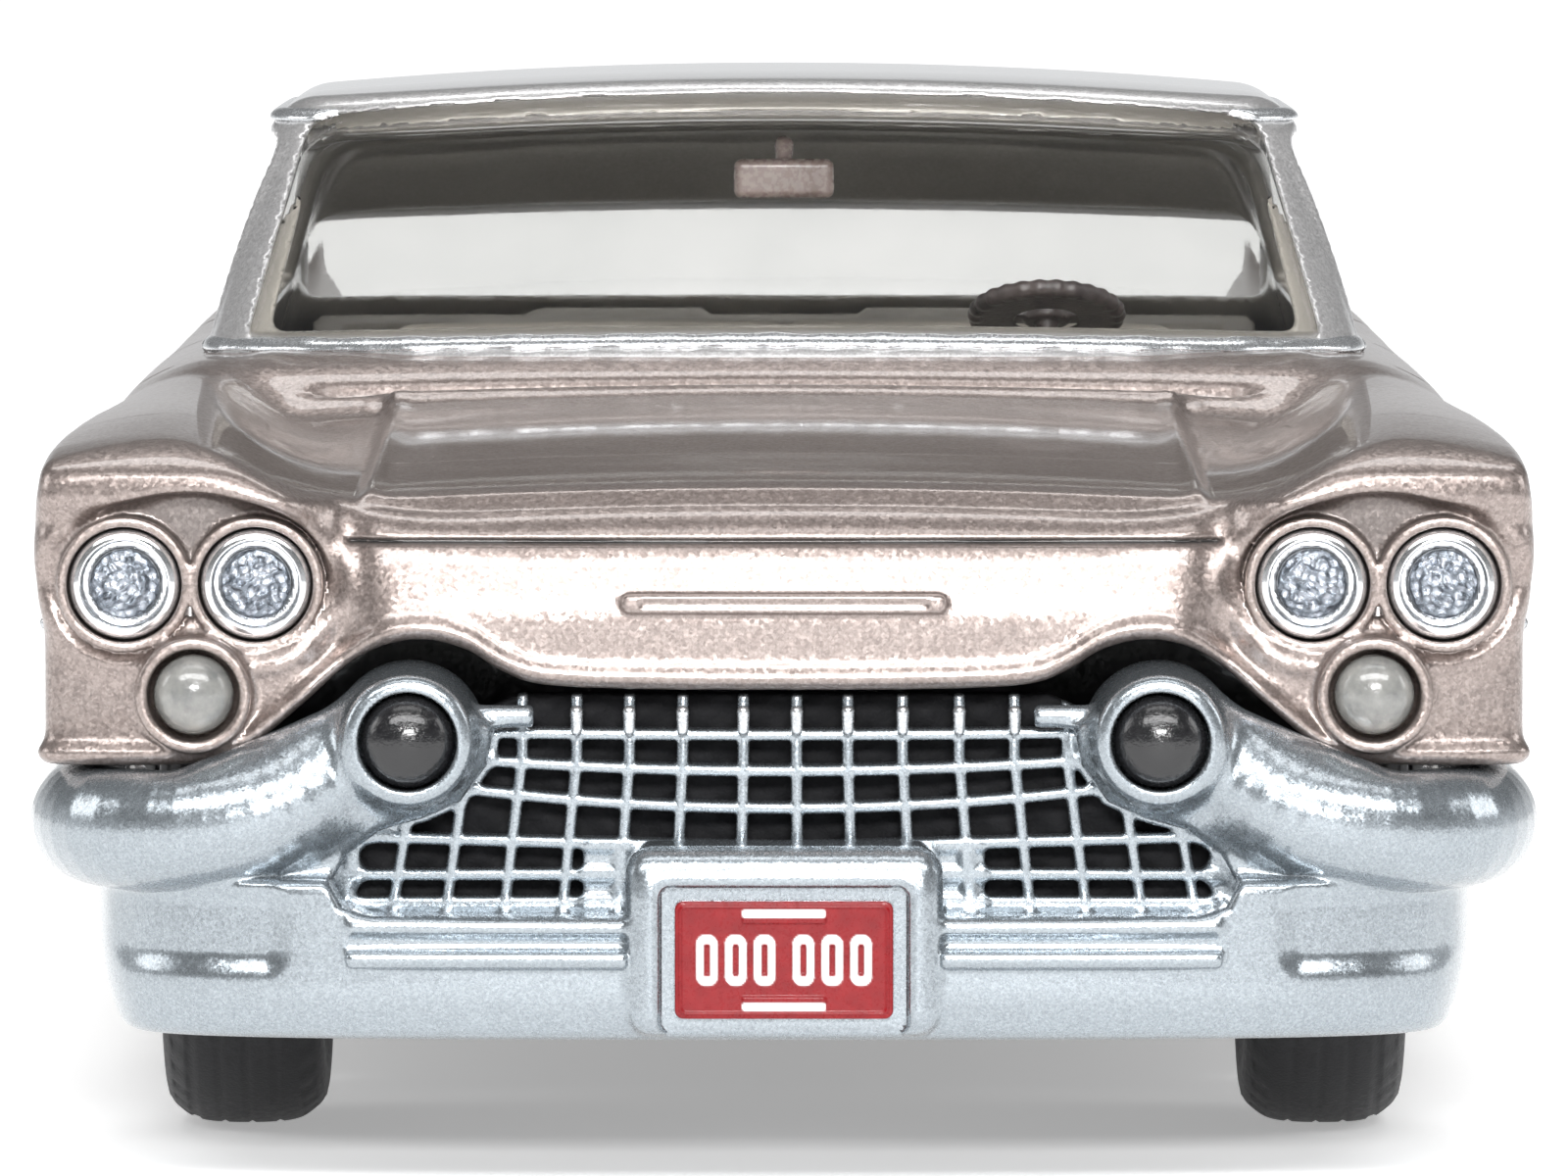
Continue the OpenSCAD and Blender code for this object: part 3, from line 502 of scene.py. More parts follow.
def bumper_f(x, y, z):
    ax = np.abs(x)
    # pan: a shallow U-shaped channel that wraps round the corners
    p = plan_front(ax)
    face = (-y - (p - 0.45 * np.maximum(3.1 - z, 0) ** 2.2)) * 0.8
    w = ax - (10.42 - 0.28 * np.maximum(3.6 - z, 0) ** 1.4)
    pan = smax(smax(face, w, 0.5), smax(z - 4.62, 2.2 - z, 0.05), 0.22)
    pan = smax(pan, y + 25.9, 0.1)
    # recessed lens panel in each end
    rec = rbox2(ax, z, 8.78, 3.86, 1.22, 0.5, 0.22)
    pan = pan + 0.10 * step(0.25, -0.15, rec) * step(-28, -29, y)
    # wing: a fat bar along its path
    pts = WING
    d = None
    for i in range(len(pts) - 1):
        t0, t1 = i / (len(pts) - 1), (i + 1) / (len(pts) - 1)
        def prof(t):
            return np.interp(t, [0, 0.5, 0.75, 1.0], [0.92, 0.95, 0.86, 0.62])
        # round in section, its radius following prof along the path
        c = capsule(ax, y, z, pts[i], pts[i + 1], float(prof(t0)), float(prof(t1)))
        d = c if d is None else np.minimum(d, c)
    wing = smax(d, z - 6.2 - 1.2 * step(8.6, 7.2, ax), 0.15)
    # arm that carries the wing up to the bullet
    arm = capsule(ax, y, z, (8.35, -30.2, 5.82), (6.15, -30.2, 6.95), 0.60, 0.45)
    arm2 = capsule(ax, y, z, (7.6, -30.3, 5.1), (5.9, -30.35, 5.75), 0.42, 0.35)
    wing = smin(wing, arm, 0.45)
    wing = smin(wing, arm2, 0.4)
    b = smin(pan, wing, 0.12)
    # grille surround
    o = inside2(ax, z, OPEN)
    sur = smax(o - 0.62, -y - 30.62 + 0.002 * ax * ax, 0.18)
    sur = smax(sur, z - 6.9, 0.15)
    b = smin(b, smax(sur, 3.9 - z, 0.1), 0.2)
    # bullets' sockets: a cone with a rolled mouth
    r = np.hypot(ax - BX, z - BZ)
    cone = smax(r - (0.98 + 0.12 * (y + 31.2)), -y - 31.28, 0.22)
    b = smin(b, cone, 0.32)
    b = smax(b, -o, 0.14)
    # two bright bars under the grille
    for zb, rr, yy in ((3.92, 0.16, 31.18), (3.46, 0.15, 31.42)):
        bar = np.hypot((z - zb), (y + yy - 0.0022 * ax * ax - 0.02) * 0.9) - rr
        bar = smax(smax(bar, ax - 6.55, 0.12), 2.35 - ax, 0.05)
        b = smin(b, bar, 0.07)
    groove = np.hypot(z - 3.69, y + 31.40 - 0.0022 * ax * ax) - 0.13
    b = smax(b, -smax(smax(groove, ax - 6.5, 0.1), 2.3 - ax, 0.05), 0.08)
    # thin bar over the grille, between the bullets
    top = np.hypot(z - 7.02, (y + 30.25)) - 0.17
    b = smin(b, smax(smax(top, ax - 4.9, 0.1), 3.75 - ax, 0.1), 0.12)
    # plate housing
    hs = rbox2(ax, z, 0, 3.72, 2.38, 1.42, 0.42)
    roll = 0.22 * np.maximum(z - 4.3, 0) ** 2
    box = smax(smax(hs, -y - 31.55 + roll, 0.42), y + 29.9, 0.1)
    b = smin(b, box, 0.09)
    hole = rbox2(ax, z, 0, 3.46, 1.85, 1.08, 0.16)
    b = smax(b, -smax(hole, y + 31.22, 0.02), 0.16)
    # bullets' bores, hollow back
    b = smax(b, -smax(r - 0.735, y + 30.6, 0.04), 0.06)
    back = smax(smax(ax - 9.2, -29.75 - y, 0.2), y + 20, 0.1)
    b = smax(b, -back, 0.1)
    return b

def bullet_f(x, y, z):
    ax = np.abs(x)
    r = np.hypot(ax - BX, z - BZ)
    dome = np.sqrt(r * r + (np.minimum(y + 31.0, 0) * 1.28) ** 2) - 0.70
    d = smax(dome, r - 0.70, 0.02)
    d = smax(d, y + 30.65, 0.05)
    return d + 0.02 * np.exp(-((r - 0.6) / 0.05) ** 2) * 0

GX = [-6.2, -5.5, -4.75, -3.93, -3.11, -2.32, -1.52, -0.61, 0.19, 0.96, 1.78, 2.63, 3.46, 4.25, 5.03, 5.78, 6.45]

def grille_f(x, y, z):
    """Cast grille: bars in front of a black backing."""
    ax = np.abs(x)
    plan = 30.02 - 0.006 * ax * ax
    prof = 0.12 * (1 - ((z - 5.6) / 1.8) ** 2)
    front = -y - plan - prof
    bars = None
    # verticals lean outwards as they go down
    lean = 1 + 0.030 * np.maximum(6.4 - z, 0)
    for g in GX:
        d = np.abs(x - g * lean) - 0.088
        bars = d if bars is None else np.minimum(bars, d)
    bow = 0.0135 * ax * ax
    for zz, k in ((6.72, 0.1), (6.18, 0.55), (5.62, 0.9)):
        d = np.abs(z - (zz + bow * k)) - 0.085
        bars = smin(bars, d, 0.05)
    # lower rows open out to both sides of the plate
    for zz in (5.08, 4.62, 4.20):
        d = np.abs(z - (zz - 0.012 * (ax - 2.6) * np.where(zz > 5, -2.0, 0.5) * 1.0)) - 0.088
        d = np.where(ax > 1.9 if zz < 5.05 else ax > -1, d, 1.0)
        bars = smin(bars, d, 0.05)
    mesh = smax(smax(bars, front, 0.08), y + 29.5, 0.05)
    o = inside2(ax, z, OPEN)
    rim = smax(smax(-(o + 0.10), o - 0.3, 0.02), smax(front + 0.02, y + 29.4, 0.05), 0.08)
    rim = smax(rim, z - 6.72, 0.05)
    # solid webs round the lobes' ends and beside the plate
    web = smin(np.hypot((ax - 6.75) / 1.0, (z - 4.62) / 1.0) - 0.42, np.hypot(ax - 4.75, z - 6.55) - 0.42, 0.1)
    web = smin(web, rbox2(ax, z, 2.6, 4.5, 0.42, 0.6, 0.2), 0.1)
    web = smax(smax(web, front + 0.03, 0.08), y + 29.4, 0.05)
    d = smin(smin(mesh, rim, 0.08), web, 0.12)
    d = smax(d, smax(o - 0.28, z - 7.45, 0.05), 0.05)
    return d

def grille_back_f(x, y, z):
    ax = np.abs(x)
    o = inside2(ax, z, OPEN)
    wav = 0.04 * np.cos(ax * 7.5) * np.cos(z * 9)
    return smax(smax(o - 0.25, -y - 29.42 + wav, 0.08), y + 28.9, 0.05)

def knob_f(x, y, z):
    """The ends of the upright bars, seen over the top row; drawn in the lighter trim silver as a painted highlight."""
    ax = np.abs(x)
    d = None
    for g in GX[4:13]:
        c = capsule(x, y, z, (g, -30.22, 7.08), (g, -30.18, 6.8), 0.10, 0.085)
        d = c if d is None else np.minimum(d, c)
    return d

# ------------------------------------------------------------------ lamps
def lamp_f(sign):
    def f(x, y, z):
        sx = x * sign
        d = None
        for i, lx in enumerate(LAMPS):
            r = np.hypot(sx - lx, z - LAMP_Z)
            # bezel: a rolled bright ring round a conical bowl
            bez = smax(r - 0.83, -y - 30.02 + 0.20 * np.maximum(r - 0.62, 0) * 2.0, 0.10)
            bowl = smax(r - 0.60, y + 29.72 + 0.55 * np.maximum(0.62 - r, 0), 0.05)
            bez = smax(bez, -smax(r - 0.655, y + 29.76 - 0.35 * r, 0.04), 0.04)
            # lens: a low dome with a pebbled face
            lens = smax(r - 0.53, np.sqrt(r * r + (y + 28.95) ** 2) - 1.06, 0.06)
            a = np.arctan2(z - LAMP_Z, sx - lx)
            peb = 0.022 * (np.sin(14 * (sx - lx) + 3 * np.sin(9 * (z - LAMP_Z) + i)) * np.sin(15 * (z - LAMP_Z) + 2.5 * np.sin(11 * (sx - lx) + 1.3 * i)))
            peb = peb + 0.016 * np.sin(31 * (sx - lx) + 4.1 * (z - LAMP_Z) * 5) * np.sin(27 * (z - LAMP_Z) - 3.0 * (sx - lx) * 4)
            lens = lens - peb * step(0.5, 0.35, r)
            p = smin(bez, lens, 0.04)
            p = smin(p, smax(r - 0.8, np.abs(y + 29.3) - 0.32, 0.05), 0.03)
            d = p if d is None else smin(d, p, 0.05)
        # small bright cap and post between the two lamps
        cap = rbox3(sx, y, z, (8.92, -29.68, 9.17), (0.13, 0.2, 0.12), 0.08)
        post = rbox3(sx, y, z, (8.92, -29.62, 8.72), (0.07, 0.2, 0.36), 0.06)
        d = smin(d, smin(cap, post, 0.05), 0.03)
        back = smax(smax(rbox2(sx, z, 8.92, LAMP_Z, 1.78, 0.80, 0.75), y + 28.6, 0.05), -29.45 - y, 0.05)
        return smin(d, back, 0.03)
    return f

def turn_f(x, y, z):
    ax = np.abs(x)
    r = np.hypot(ax - 8.85, z - 7.34)
    d = np.sqrt(r * r + (np.minimum(y + 30.15, 0) * 1.2) ** 2) - 0.61
    return smax(smax(d, r - 0.61, 0.02), y + 29.1, 0.05)

def tail_f(x, y, z):
    ax = np.abs(x)
    r = np.hypot(ax - 9.15, z - 7.55)
    d = np.sqrt(r * r + (np.maximum(y - 30.3, 0) * 1.25) ** 2) - (1.02 + 0.012 * np.cos(r * 38))
    d = smax(smax(d, r - 1.02, 0.02), 28.7 - y, 0.05)
    ring = np.hypot(r - 0.5, y - 31.0) - 0.05
    return smin(d, ring, 0.03)

def plate_f(y0, s):
    def f(x, y, z):
        yy = (y - y0) * s
        z0 = 3.45 if s < 0 else 4.14
        d = smax(rbox2(x, z, 0, z0, 1.63, 0.88, 0.13), np.abs(yy) - 0.09, 0.03)
        rim = np.abs(rbox2(x, z, 0, z0, 1.55, 0.80, 0.1)) - 0.02
        d = d - 0.022 * step(0.02, -0.02, rim) * step(0, 0.05, yy)
        return d - 0.03 * step(0.02, -0.015, glyphs(x * (-s), z - z0)) * step(0, 0.05, yy)
    return f

def glyphs(x, z):
    """Plain zeros in two groups of three, and a plain bar above and below."""
    d = None
    for g in (-1, 1):
        for k in (-1, 0, 1):
            cx = g * 0.72 + k * 0.43
            o = rbox2(x, z, cx, 0.0, 0.155, 0.32, 0.13)
            q = np.abs(o + 0.05) - 0.055
            d = q if d is None else np.minimum(d, q)
    for zz, hw in ((0.60, 0.62), (-0.60, 0.62)):
        d = np.minimum(d, rbox2(x, z, 0, zz, hw, 0.05, 0.03))
    return d

# ------------------------------------------------------------------ rear bumper
def rbumper_f(x, y, z):
    ax = np.abs(x)
    p = tab([[0, 31.35], [5, 31.32], [7.5, 31.15], [9, 30.75], [9.9, 30.0], [10.4, 28.8], [10.62, 27], [10.65, 24]], ax)
    face = (y - (p - 0.25 * np.maximum(3.7 - z, 0) ** 2 - 0.12 * np.exp(-((z - 4.25) / 0.22) ** 2))) * 0.85
    w = ax - (10.5 - 0.3 * np.maximum(3.7 - z, 0) ** 1.5)
    d = smax(smax(face, w, 0.5), smax(z - 5.55, 2.95 - z, 0.05), 0.3)
    d = smax(d, 25.62 - y, 0.1)
    r = np.hypot(ax - 8.75, z - 4.42)
    pod = smax(r - (1.22 - 0.25 * np.maximum(y - 30.4, 0)), y - 31.58 + 0.12 * r * r, 0.3)
    d = smin(d, smax(pod, 28.5 - y, 0.1), 0.3)
    ring = smax(np.abs(r - 0.62) - 0.06, np.abs(y - 31.38) - 0.12, 0.04)
    d = smin(d, ring, 0.05)
    d = smax(d, -smax(r - 0.55, 31.0 - y, 0.05), 0.05)
    hs = rbox2(ax, z, 0, 4.15, 2.2, 1.2, 0.35)
    d = smin(d, smax(smax(hs, y - 31.5, 0.15), 30 - y, 0.1), 0.12)
    hole = rbox2(ax, z, 0, 4.14, 1.74, 0.98, 0.12)
    d = smax(d, -smax(hole, 31.2 - y, 0.02), 0.06)
    bar = np.hypot(z - 5.05, (y - p + 0.02) * 0.9) - 0.13
    d = smin(d, smax(smax(bar, ax - 7.2, 0.1), 2.4 - ax, 0.05), 0.06)
    back = smax(smax(ax - 9.35, y - 29.75, 0.2), 20 - y, 0.1)
    return smax(d, -back, 0.1)

# ------------------------------------------------------------------ bright trim on the body
def trim_f(x, y, z):
    ax = np.abs(x)
    w = half_w(y, z)
    s = ax - w
    # a slim spear along the waist
    zc = 8.25 + 0.0 * y
    bar = np.hypot(z - zc, s * 0.9 - 0.02) - 0.115
    bar = smax(smax(bar, -27.6 - y, 0.08), y - 27.5, 0.08)
    # door handles
    d = bar
    for hy in (-1.55, 9.0):
        hd = capsule(ax, y, z, (11.22, hy - 0.62, 9.35), (11.22, hy + 0.55, 9.35), 0.12, 0.09)
        push = np.sqrt((ax - 11.16) ** 2 + (y - hy - 0.75) ** 2 + (z - 9.35) ** 2) - 0.16
        d = np.minimum(d, np.minimum(hd, push))
    # belt moulding under the side glass
    g = greenhouse(ax, y, z)
    belt = np.hypot(z - 11.72, g - 0.03) - 0.12
    belt = smax(smax(belt, -9.0 - y, 0.1), y - 14.8, 0.1)
    d = np.minimum(d, belt)
    # sill moulding
    sill = rbox2(z, s, 3.02, -0.02, 0.3, 0.10, 0.08)
    sill = smax(smax(sill, np.abs(y + 3.0) - 13.2, 0.1), 0 * z - 1, 0.01)
    d = np.minimum(d, sill)
    # ribbed panel on the rear quarter
    b = np.hypot(y - YR, z - AZ) - 4.95
    pan = rbox2(y, z, 18.35, 5.0, 7.05, 2.35, 0.3)
    ribs = 0.035 * np.cos((z - 3.0) * 2 * np.pi / 0.42)
    q = smax(smax(pan, np.abs(s + 0.02) - (0.09 + ribs), 0.05), -b, 0.06)
    q = smax(q, -(y - 11.9) , 0.1)
    return np.minimum(d, q)

def cowl_trim_f(x, y, z):
    """Bright bead at the foot of the windscreen."""
    ax = np.abs(x)
    g = greenhouse(ax, y, z)
    bead = np.hypot(z - (11.95 - 0.002 * ax * ax), g + 0.02) - 0.12
    bead = smax(bead, y + 8.9, 0.2)
    wob = 0.02 * np.cos(x * 5.3 + 1.0) * np.cos(x * 2.1)
    bead = bead - wob
    return bead

def gutter_f(x, y, z):
    ax = np.abs(x)
    g = greenhouse(ax, y, z)
    zg = tab([[-9.4, 15.45], [-8, 15.48], [0, 15.5], [6, 15.3], [9, 14.4], [11, 13.2], [12.4, 12.0]], y)
    d = np.hypot(z - zg, g - 0.02) - 0.11
    return smax(smax(d, 7.0 - ax, 0.1), smax(-7.6 - y, y - 12.2, 0.3), 0.05)

# ------------------------------------------------------------------ cabin
def tray_f(x, y, z):
    ax = np.abs(x)
    d = smax(smax(ax - 8.25, z - 10.9 - 0.25 * step(11, 13, y), 0.1), smax(-12.5 - y, y - 15.1, 0.2), 0.15)
    d = smax(d, 5.9 - z, 0.05)
    inner = smax(smax(ax - 7.7, 6.5 - z, 0.2), smax(-12.0 - y, y - 12.2, 0.3), 0.25)
    d = smax(d, -inner, 0.12)
    tun = smax(ax - 0.95, z - 7.3, 0.4)
    d = smin(d, smax(tun, smax(-12 - y, y - 12, 0.1), 0.1), 0.2)
    # door cards: armrests and a roll along the top
    arm = rbox3(ax, y, z, (7.55, -3.2, 9.2), (0.35, 2.2, 0.3), 0.2)
    arm = np.minimum(arm, rbox3(ax, y, z, (7.55, 6.4, 9.2), (0.35, 2.0, 0.3), 0.2))
    d = smin(d, arm, 0.15)
    # parcel shelf's raised speaker panel
    return smin(d, rbox3(ax, y, z, (3.0, 13.8, 11.15), (1.6, 0.8, 0.12), 0.1), 0.1)

def seat_f(y0, w, top):
    def f(x, y, z):
        ax = np.abs(x)
        cush = rbox3(ax, y, z, (0, y0, 7.5), (w, 2.5, 0.95), 0.55)
        t = (z - 8.0) * 0.28
        back = rbox3(ax, y - t, z, (0, y0 + 2.5, (top + 7.6) / 2 - 0.1 * (ax / w) ** 4), (w, 0.75, (top - 7.6) / 2 + 0.1), 0.55)
        flute = 0.05 * np.cos(ax * 2 * np.pi / 0.72) * step(w - 0.7, w - 1.2, ax)
        flute = flute * (1 - np.exp(-((ax) / 0.5) ** 2))
        d = smin(cush - flute * step(7.9, 8.3, z), back - flute * step(y0 + 2.6 + 5, y0 + 1.8, y) * step(top + 0.2, top - 0.7, z), 0.3)
        seam = np.exp(-((z - top + 0.85) / 0.08) ** 2) * 0.05
        split = np.exp(-((ax - 0.0) / 0.09) ** 2) * 0.08 * step(8, 9, z)
        return d + seam + split
    return f

def dash_f(x, y, z):
    ax = np.abs(x)
    d = rbox3(ax, y, z, (0, -10.2, 9.8), (7.6, 1.75, 1.55), 0.65)
    hood = capsule(x, y, z, (2.4, -9.3, 11.25), (6.2, -9.3, 11.25), 0.42)
    d = smin(d, hood, 0.4)
    pad = capsule(ax, y, z, (0, -8.75, 10.95), (7.3, -8.75, 10.95), 0.28)
    d = smin(d, pad, 0.25)
    for gx in (3.3, 5.2):
        r = np.hypot(x - gx, z - 10.55)
        d = smax(d, -smax(r - 0.5, -8.7 - y, 0.02), 0.05)
    glove = np.abs(rbox2(x, z, -4.4, 10.1, 1.7, 0.55, 0.15)) - 0.05
    return smax(d, -smax(glove, -8.75 - y, 0.02), 0.03)

def wheel_frame(x, y, z, c, tilt):
    """Steering wheel's own axes: u across, v along the plane, n off it."""
    a = math.radians(tilt)
    dx, dy, dz = x - c[0], y - c[1], z - c[2]
    v = dy * math.cos(a) - dz * math.sin(a)
    n = dy * math.sin(a) + dz * math.cos(a)
    return dx, v, n

def steer_f(x, y, z):
    u, v, n = wheel_frame(x, y, z, (4.36, -7.9, 12.02), 24)
    r = np.hypot(u, v)
    a = np.arctan2(v, u)
    rim = np.hypot(r - 1.17, n) - (0.135 + 0.012 * np.cos(a * 26))
    spoke = smax(smax(np.abs(v) - 0.16 - 0.05 * r, r - 1.15, 0.05), np.abs(n + 0.08 - 0.05 * r) - 0.05, 0.04)
    hub = smax(r - 0.36, np.abs(n + 0.02) - 0.14, 0.08)
    horn = np.hypot(r - 0.72, n + 0.06) - 0.045
    col = smax(r - 0.19, np.abs(n + 1.0) - 1.0, 0.05)
    d = smin(smin(smin(rim, spoke, 0.08), hub, 0.08), np.minimum(horn, col), 0.04)
    dish = smax(smax(r - 1.12, 0.55 - r, 0.05), np.abs(n + 0.1) - 0.03, 0.02)
    return smin(d, dish, 0.03)

def mirror_f(x, y, z):
    d = rbox3(x, y + 0.06 * x * x, z, (0, -5.2, 14.2), (0.84, 0.16, 0.33), 0.14)
    stem = capsule(x, y, z, (0, -5.0, 14.2), (0, -4.85, 14.75), 0.11, 0.16)
    return smin(d, stem, 0.12)

# ------------------------------------------------------------------ chassis
def chassis_f(x, y, z):
    ax = np.abs(x)
    w = 9.75 - 2.9 * step(-15.2, -15.8, y) * step(-26.6, -26.2, y) - 2.9 * step(10.2, 10.8, y) * step(21.4, 20.9, y) - 0.6 * step(-26.2, -26.6, y) - 0.5 * step(20.9, 21.4, y)
    d = smax(smax(ax - w, z - 3.1, 0.06), smax(np.abs(y) - 29.2, 2.0 - z, 0.05), 0.08)
    # cast relief: side rails, cross members, sump, tank, silencers and exhaust pipes
    dz = 2.0 - z
    rel = 0.0
    rail = 0.16 * step(0.45, 0.30, np.abs(ax - 5.9 + 0.9 * step(-15, -18, y)))
    rel = rel + rail
    for cy in (-27.4, -14.5, -5.0, 5.0, 12.4, 26.4):
        rel = rel + 0.12 * step(0.55, 0.4, np.abs(y - cy)) * step(6.2, 5.9, ax)
    rel = rel + 0.15 * step(0.1, -0.1, rbox2(ax, y, 0, -17.3, 1.9, 2.3, 0.5)) + 0.15 * step(0.12, -0.1, rbox2(ax, y, 0, -12.6, 1.0, 1.6, 0.4))
    rel = rel + 0.15 * np.sqrt(np.clip(1 - ((ax - 4.4) / 0.28) ** 2, 0, 1)) * step(-13, -12.5, y) * step(24.5, 24, y)
    rel = rel + 0.2 * step(0.15, -0.15, rbox2(ax, y, 3.9, 0.3, 0.95, 3.2, 0.6)) + 0.18 * step(0.15, -0.15, rbox2(ax, y, 0, 24.4, 4.6, 1.5, 0.5)) * 0.8
    rel = rel + 0.14 * step(0.42, 0.3, ax) * step(-10.5, -10, y) * step(13.8, 13.4, y)
    face = dz - 0.0
    d = smax(d, (2.0 + 0.22 - np.minimum(rel, 0.22)) - z, 0.05)
    for cy in (-13.0, 9.0):
        r = np.hypot(ax, y - cy)
        boss = smax(r - 1.55, z - 5.6, 0.1)
        d = smin(d, smax(boss, 2.0 - z, 0.03), 0.08)
        d = smax(d, -smax(r - 0.7, z - 4.8, 0.03), 0.04)
    for cy in (-24.6, 23.3):
        r = np.hypot(ax, y - cy)
        d = smax(d, -smax(r - 1.3, z - 2.6, 0.03), 0.04)
        d = smax(d, -(r - 0.62), 0.03)
    for cy in (YF, YR):
        br = rbox3(ax, y, z, (5.75, cy, 3.9), (0.75, 1.3, 1.45), 0.2)
        d = smin(d, br, 0.12)
        d = smax(d, -(np.hypot(y - cy, z - AZ) - 0.56), 0.03)
    return smax(d, 2.0 - z, 0.04)

def screws_f(x, y, z):
    d = None
    for cy in (-24.6, 23.3):
        r = np.hypot(x, y - cy)
        h = smax(smax(r - 1.18, 2.05 - z + 0.12 * r * r * 0.3, 0.08), z - 2.58, 0.04)
        h = smin(h, smax(r - 0.48, np.abs(z - 3.8) - 1.6, 0.05), 0.05)
        sl = np.minimum(smax(np.abs(x) - 0.13, np.abs(y - cy) - 0.8, 0.05), smax(np.abs(y - cy) - 0.13, np.abs(x) - 0.8, 0.05))
        h = smax(h, -smax(sl, z - 2.36, 0.02), 0.03)
        d = h if d is None else np.minimum(d, h)
    return d

def axle_f(y0):
    def f(x, y, z):
        r = np.hypot(y - y0, z - AZ)
        return smax(r - 0.5 + 0.02 * np.exp(-((np.abs(x) - 7.2) / 0.08) ** 2), np.abs(x) - 8.25, 0.12)
    return f

# ------------------------------------------------------------------ wheels and tyres, turned shapes with detail
def tyre_mesh(name, sx, y0, mat, nodes, body):
    """A lathe with shoulders, sidewall ribs and a fine tread."""
    prof = smooth_path([(2.62, -0.98), (2.72, -1.08), (2.95, -1.16), (3.3, -1.235), (3.6, -1.235), (3.8, -1.17), (3.95, -1.02), (4.06, -0.85), (4.12, -0.62), (4.145, -0.3), (4.15, 0), (4.145, 0.3), (4.12, 0.62), (4.06, 0.85), (3.95, 1.02), (3.8, 1.17), (3.6, 1.235), (3.3, 1.235), (2.95, 1.16), (2.72, 1.08), (2.62, 0.98)], 5)
    prof = [(r, w) for r, w in prof]
    out = []
    for r, w in prof:
        if abs(w) > 1.1 and 3.2 < r < 3.75:
            w = w + math.copysign(0.014 * math.cos(r * 60), w)
        out.append((r, w))
    n, m = 168, len(out)
    A = np.arange(n) * 2 * np.pi / n
    P = np.zeros((n, m, 3))
    for k, (r, w) in enumerate(out):
        g = 0.0
        rr = np.full(n, r)
        if abs(w) < 0.86:
            rr = rr - 0.030 * (np.abs(((w + 5.0) % 0.43) - 0.215) < 0.05)
        if 0.86 <= abs(w) < 1.1 and r > 3.85:
            rr = rr - 0.035 * ((np.arange(n) % 4) == 0)
        P[:, k, 0] = sx * 8.4 + w * sx
        P[:, k, 1] = y0 + rr * np.cos(A)
        P[:, k, 2] = AZ + rr * np.sin(A)
    P[..., 2] = np.maximum(P[..., 2], 0.0)
    idx = np.arange(n * m).reshape(n, m)
    q = np.stack([idx, np.roll(idx, -1, 0), np.roll(np.roll(idx, -1, 0), -1, 1), np.roll(idx, -1, 1)], -1)[:, :, :].reshape(-1, 4)
    if sx < 0:
        q = q[:, ::-1]
    ob = mesh_object(name, P.reshape(-1, 3), q)
    ob.data.materials.append(mat)
    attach(ob, body)
    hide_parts(*nodes)
    return ob

def wheel_f(sx, y0):
    """Bright disc: rim, a ring of fine spokes like vanes, a domed centre."""
    def f(x, y, z):
        u = x * sx - 8.4
        r = np.hypot(y - y0, z - AZ)
        a = np.arctan2(z - AZ, y - y0)
        disc = smax(r - 2.66, np.abs(u) - 0.95, 0.06)
        # dished face
        face = u - tab([[0, 1.2], [0.35, 1.16], [0.62, 1.0], [0.72, 0.78], [0.9, 0.72], [1.75, 0.62], [1.95, 0.74], [2.15, 0.98], [2.35, 1.06], [2.55, 1.02], [2.7, 0.9]], r)
        vane = 0.075 * np.cos(a * 30 + 3.5 * (r - 1.3)) * step(0.85, 0.95, r) * step(1.85, 1.72, r)
        d = smax(smax(r - 2.66, (face - vane) * 0.8, 0.05), -0.95 - u, 0.05)
        back = smax(r - 2.3, u + 0.55, 0.1)
        d = smax(d, -smax(back, 0.85 - r, 0.1), 0.08)
        return smax(d, -smax(r - 0.5, u + 0.12, 0.02), 0.02)
    return f

# ------------------------------------------------------------------ materials
def new_mat(name):
    m = bpy.data.materials.new(name)
    m.use_nodes = True
    nt = m.node_tree
    for n in list(nt.nodes):
        nt.nodes.remove(n)
    out = nt.nodes.new("ShaderNodeOutputMaterial")
    p = nt.nodes.new("ShaderNodeBsdfPrincipled")
    nt.links.new(p.outputs[0], out.inputs[0])
    tc = nt.nodes.new("ShaderNodeTexCoord")
    mp = nt.nodes.new("ShaderNodeMapping")
    mp.inputs["Scale"].default_value = (1000, 1000, 1000)
    nt.links.new(tc.outputs["Object"], mp.inputs[0])
    return m, nt, p, mp.outputs[0]

def noise(nt, vec, scale, detail=4, rough=0.55, stretch=None):
    if stretch:
        mp = nt.nodes.new("ShaderNodeMapping")
        mp.inputs["Scale"].default_value = stretch
        nt.links.new(vec, mp.inputs[0])
        vec = mp.outputs[0]
    n = nt.nodes.new("ShaderNodeTexNoise")
    n.inputs["Scale"].default_value = scale
    n.inputs["Detail"].default_value = detail
    n.inputs["Roughness"].default_value = rough
    nt.links.new(vec, n.inputs["Vector"])
    return n.outputs["Fac"]

def vor(nt, vec, scale, out="Color", feature="F1"):
    n = nt.nodes.new("ShaderNodeTexVoronoi")
    n.feature = feature
    n.inputs["Scale"].default_value = scale
    nt.links.new(vec, n.inputs["Vector"])
    return n.outputs[out]

def remap(nt, v, a, b, c, d):
    n = nt.nodes.new("ShaderNodeMapRange")
    n.inputs[1].default_value, n.inputs[2].default_value = a, b
    n.inputs[3].default_value, n.inputs[4].default_value = c, d
    nt.links.new(v, n.inputs[0])
    return n.outputs[0]

